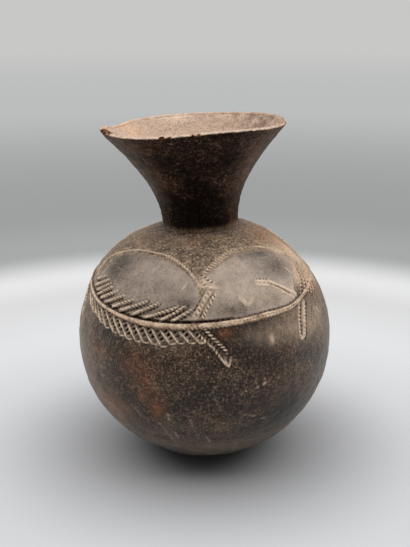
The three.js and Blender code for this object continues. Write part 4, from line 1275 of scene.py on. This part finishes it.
ground_turn = np.linspace(0, 2 * np.pi, GROUND_SIDES + 1)[:-1]
ground_reach = np.geomspace(0.02, GROUND_RADIUS, GROUND_RINGS)
ground_grid = np.stack([np.outer(ground_reach, np.cos(ground_turn)), np.outer(ground_reach, np.sin(ground_turn)),
                        np.zeros((GROUND_RINGS, GROUND_SIDES))], -1).reshape(-1, 3)
ring_starts = 1 + GROUND_SIDES * np.arange(GROUND_RINGS)
ground_faces = np.concatenate([
    strip(0, 1, 1, GROUND_SIDES),
    *(strip(inner, GROUND_SIDES, inner + GROUND_SIDES, GROUND_SIDES) for inner in ring_starts[:-1]),
])[:, ::-1]
ground_mesh = bpy.data.meshes.new("ground")
ground_mesh.from_pydata([(0, 0, 0), *ground_grid.tolist()], [], ground_faces.tolist())
ground = bpy.data.objects.new("ground", ground_mesh)
scene.collection.objects.link(ground)
# Matt paper in greys that change with the distance from the jar, darkest next to it as a painted shadow. Past
# the table's edge it shows its own grey, whatever light falls on it.
paper = bpy.data.materials.new("StudioPaper")
paper.use_nodes = True
tree = paper.node_tree
tree.nodes.clear()
spot = add(tree, "TexCoord", out="Object")
reach = add(tree, "VectorMath", {0: spot}, out="Value", operation="LENGTH")
shade = linear(GROUND_TONES[0][1])
for (near, _), (far, far_tone) in zip(GROUND_TONES, GROUND_TONES[1:]):
    share = add(tree, "MapRange", {"Value": reach, 1: near, 2: far}, interpolation_type="SMOOTHSTEP")
    shade = add(tree, "Mix", {"Factor": share, 6: shade, 7: linear(far_tone)}, **COLOUR_MIX)
lit = add(tree, "BsdfDiffuse", {"Color": shade})
glow = add(tree, "Emission", {"Color": shade, "Strength": 1.0})
distant = add(tree, "MapRange", {"Value": reach, 1: TABLE_TO, 2: PAPER_FROM}, interpolation_type="SMOOTHSTEP")
glowing = add(tree, "Math", {0: seen_directly(tree), 1: distant}, operation="MULTIPLY")
add(tree, "OutputMaterial", {"Surface": add(tree, "MixShader", {0: glowing, 1: lit, 2: glow})})
ground_mesh.materials.append(paper)

# The room is dark behind the camera and pale beyond the jar, and looks an even pale grey
world = bpy.data.worlds.new("Studio")
scene.world = world
world.use_nodes = True
tree = world.node_tree
tree.nodes.clear()
heading = add(tree, "TexCoord", out="Generated")
depth = add(tree, "SeparateXYZ", {0: heading}, out="Y")
(behind, dim), (beyond, bright) = ROOM_LIGHT
strength = add(tree, "MapRange", {"Value": depth, 1: behind, 2: beyond, 3: dim, 4: bright})
room = add(tree, "Background", {"Color": linear("#ffffff"), "Strength": strength})
wall = add(tree, "Background", {"Color": linear(GROUND_TONES[-1][1]), "Strength": 1.0})
add(tree, "OutputWorld", {"Surface": add(tree, "MixShader", {0: seen_directly(tree), 1: room, 2: wall})})

light_data = bpy.data.lights.new("Overhead", "AREA")
light_data.shape = "RECTANGLE"
light_data.size, light_data.size_y = LAMP_SIZE
light_data.energy = LAMP_POWER
light = bpy.data.objects.new("Overhead", light_data)
light.location = LAMP_PLACE
scene.collection.objects.link(light)
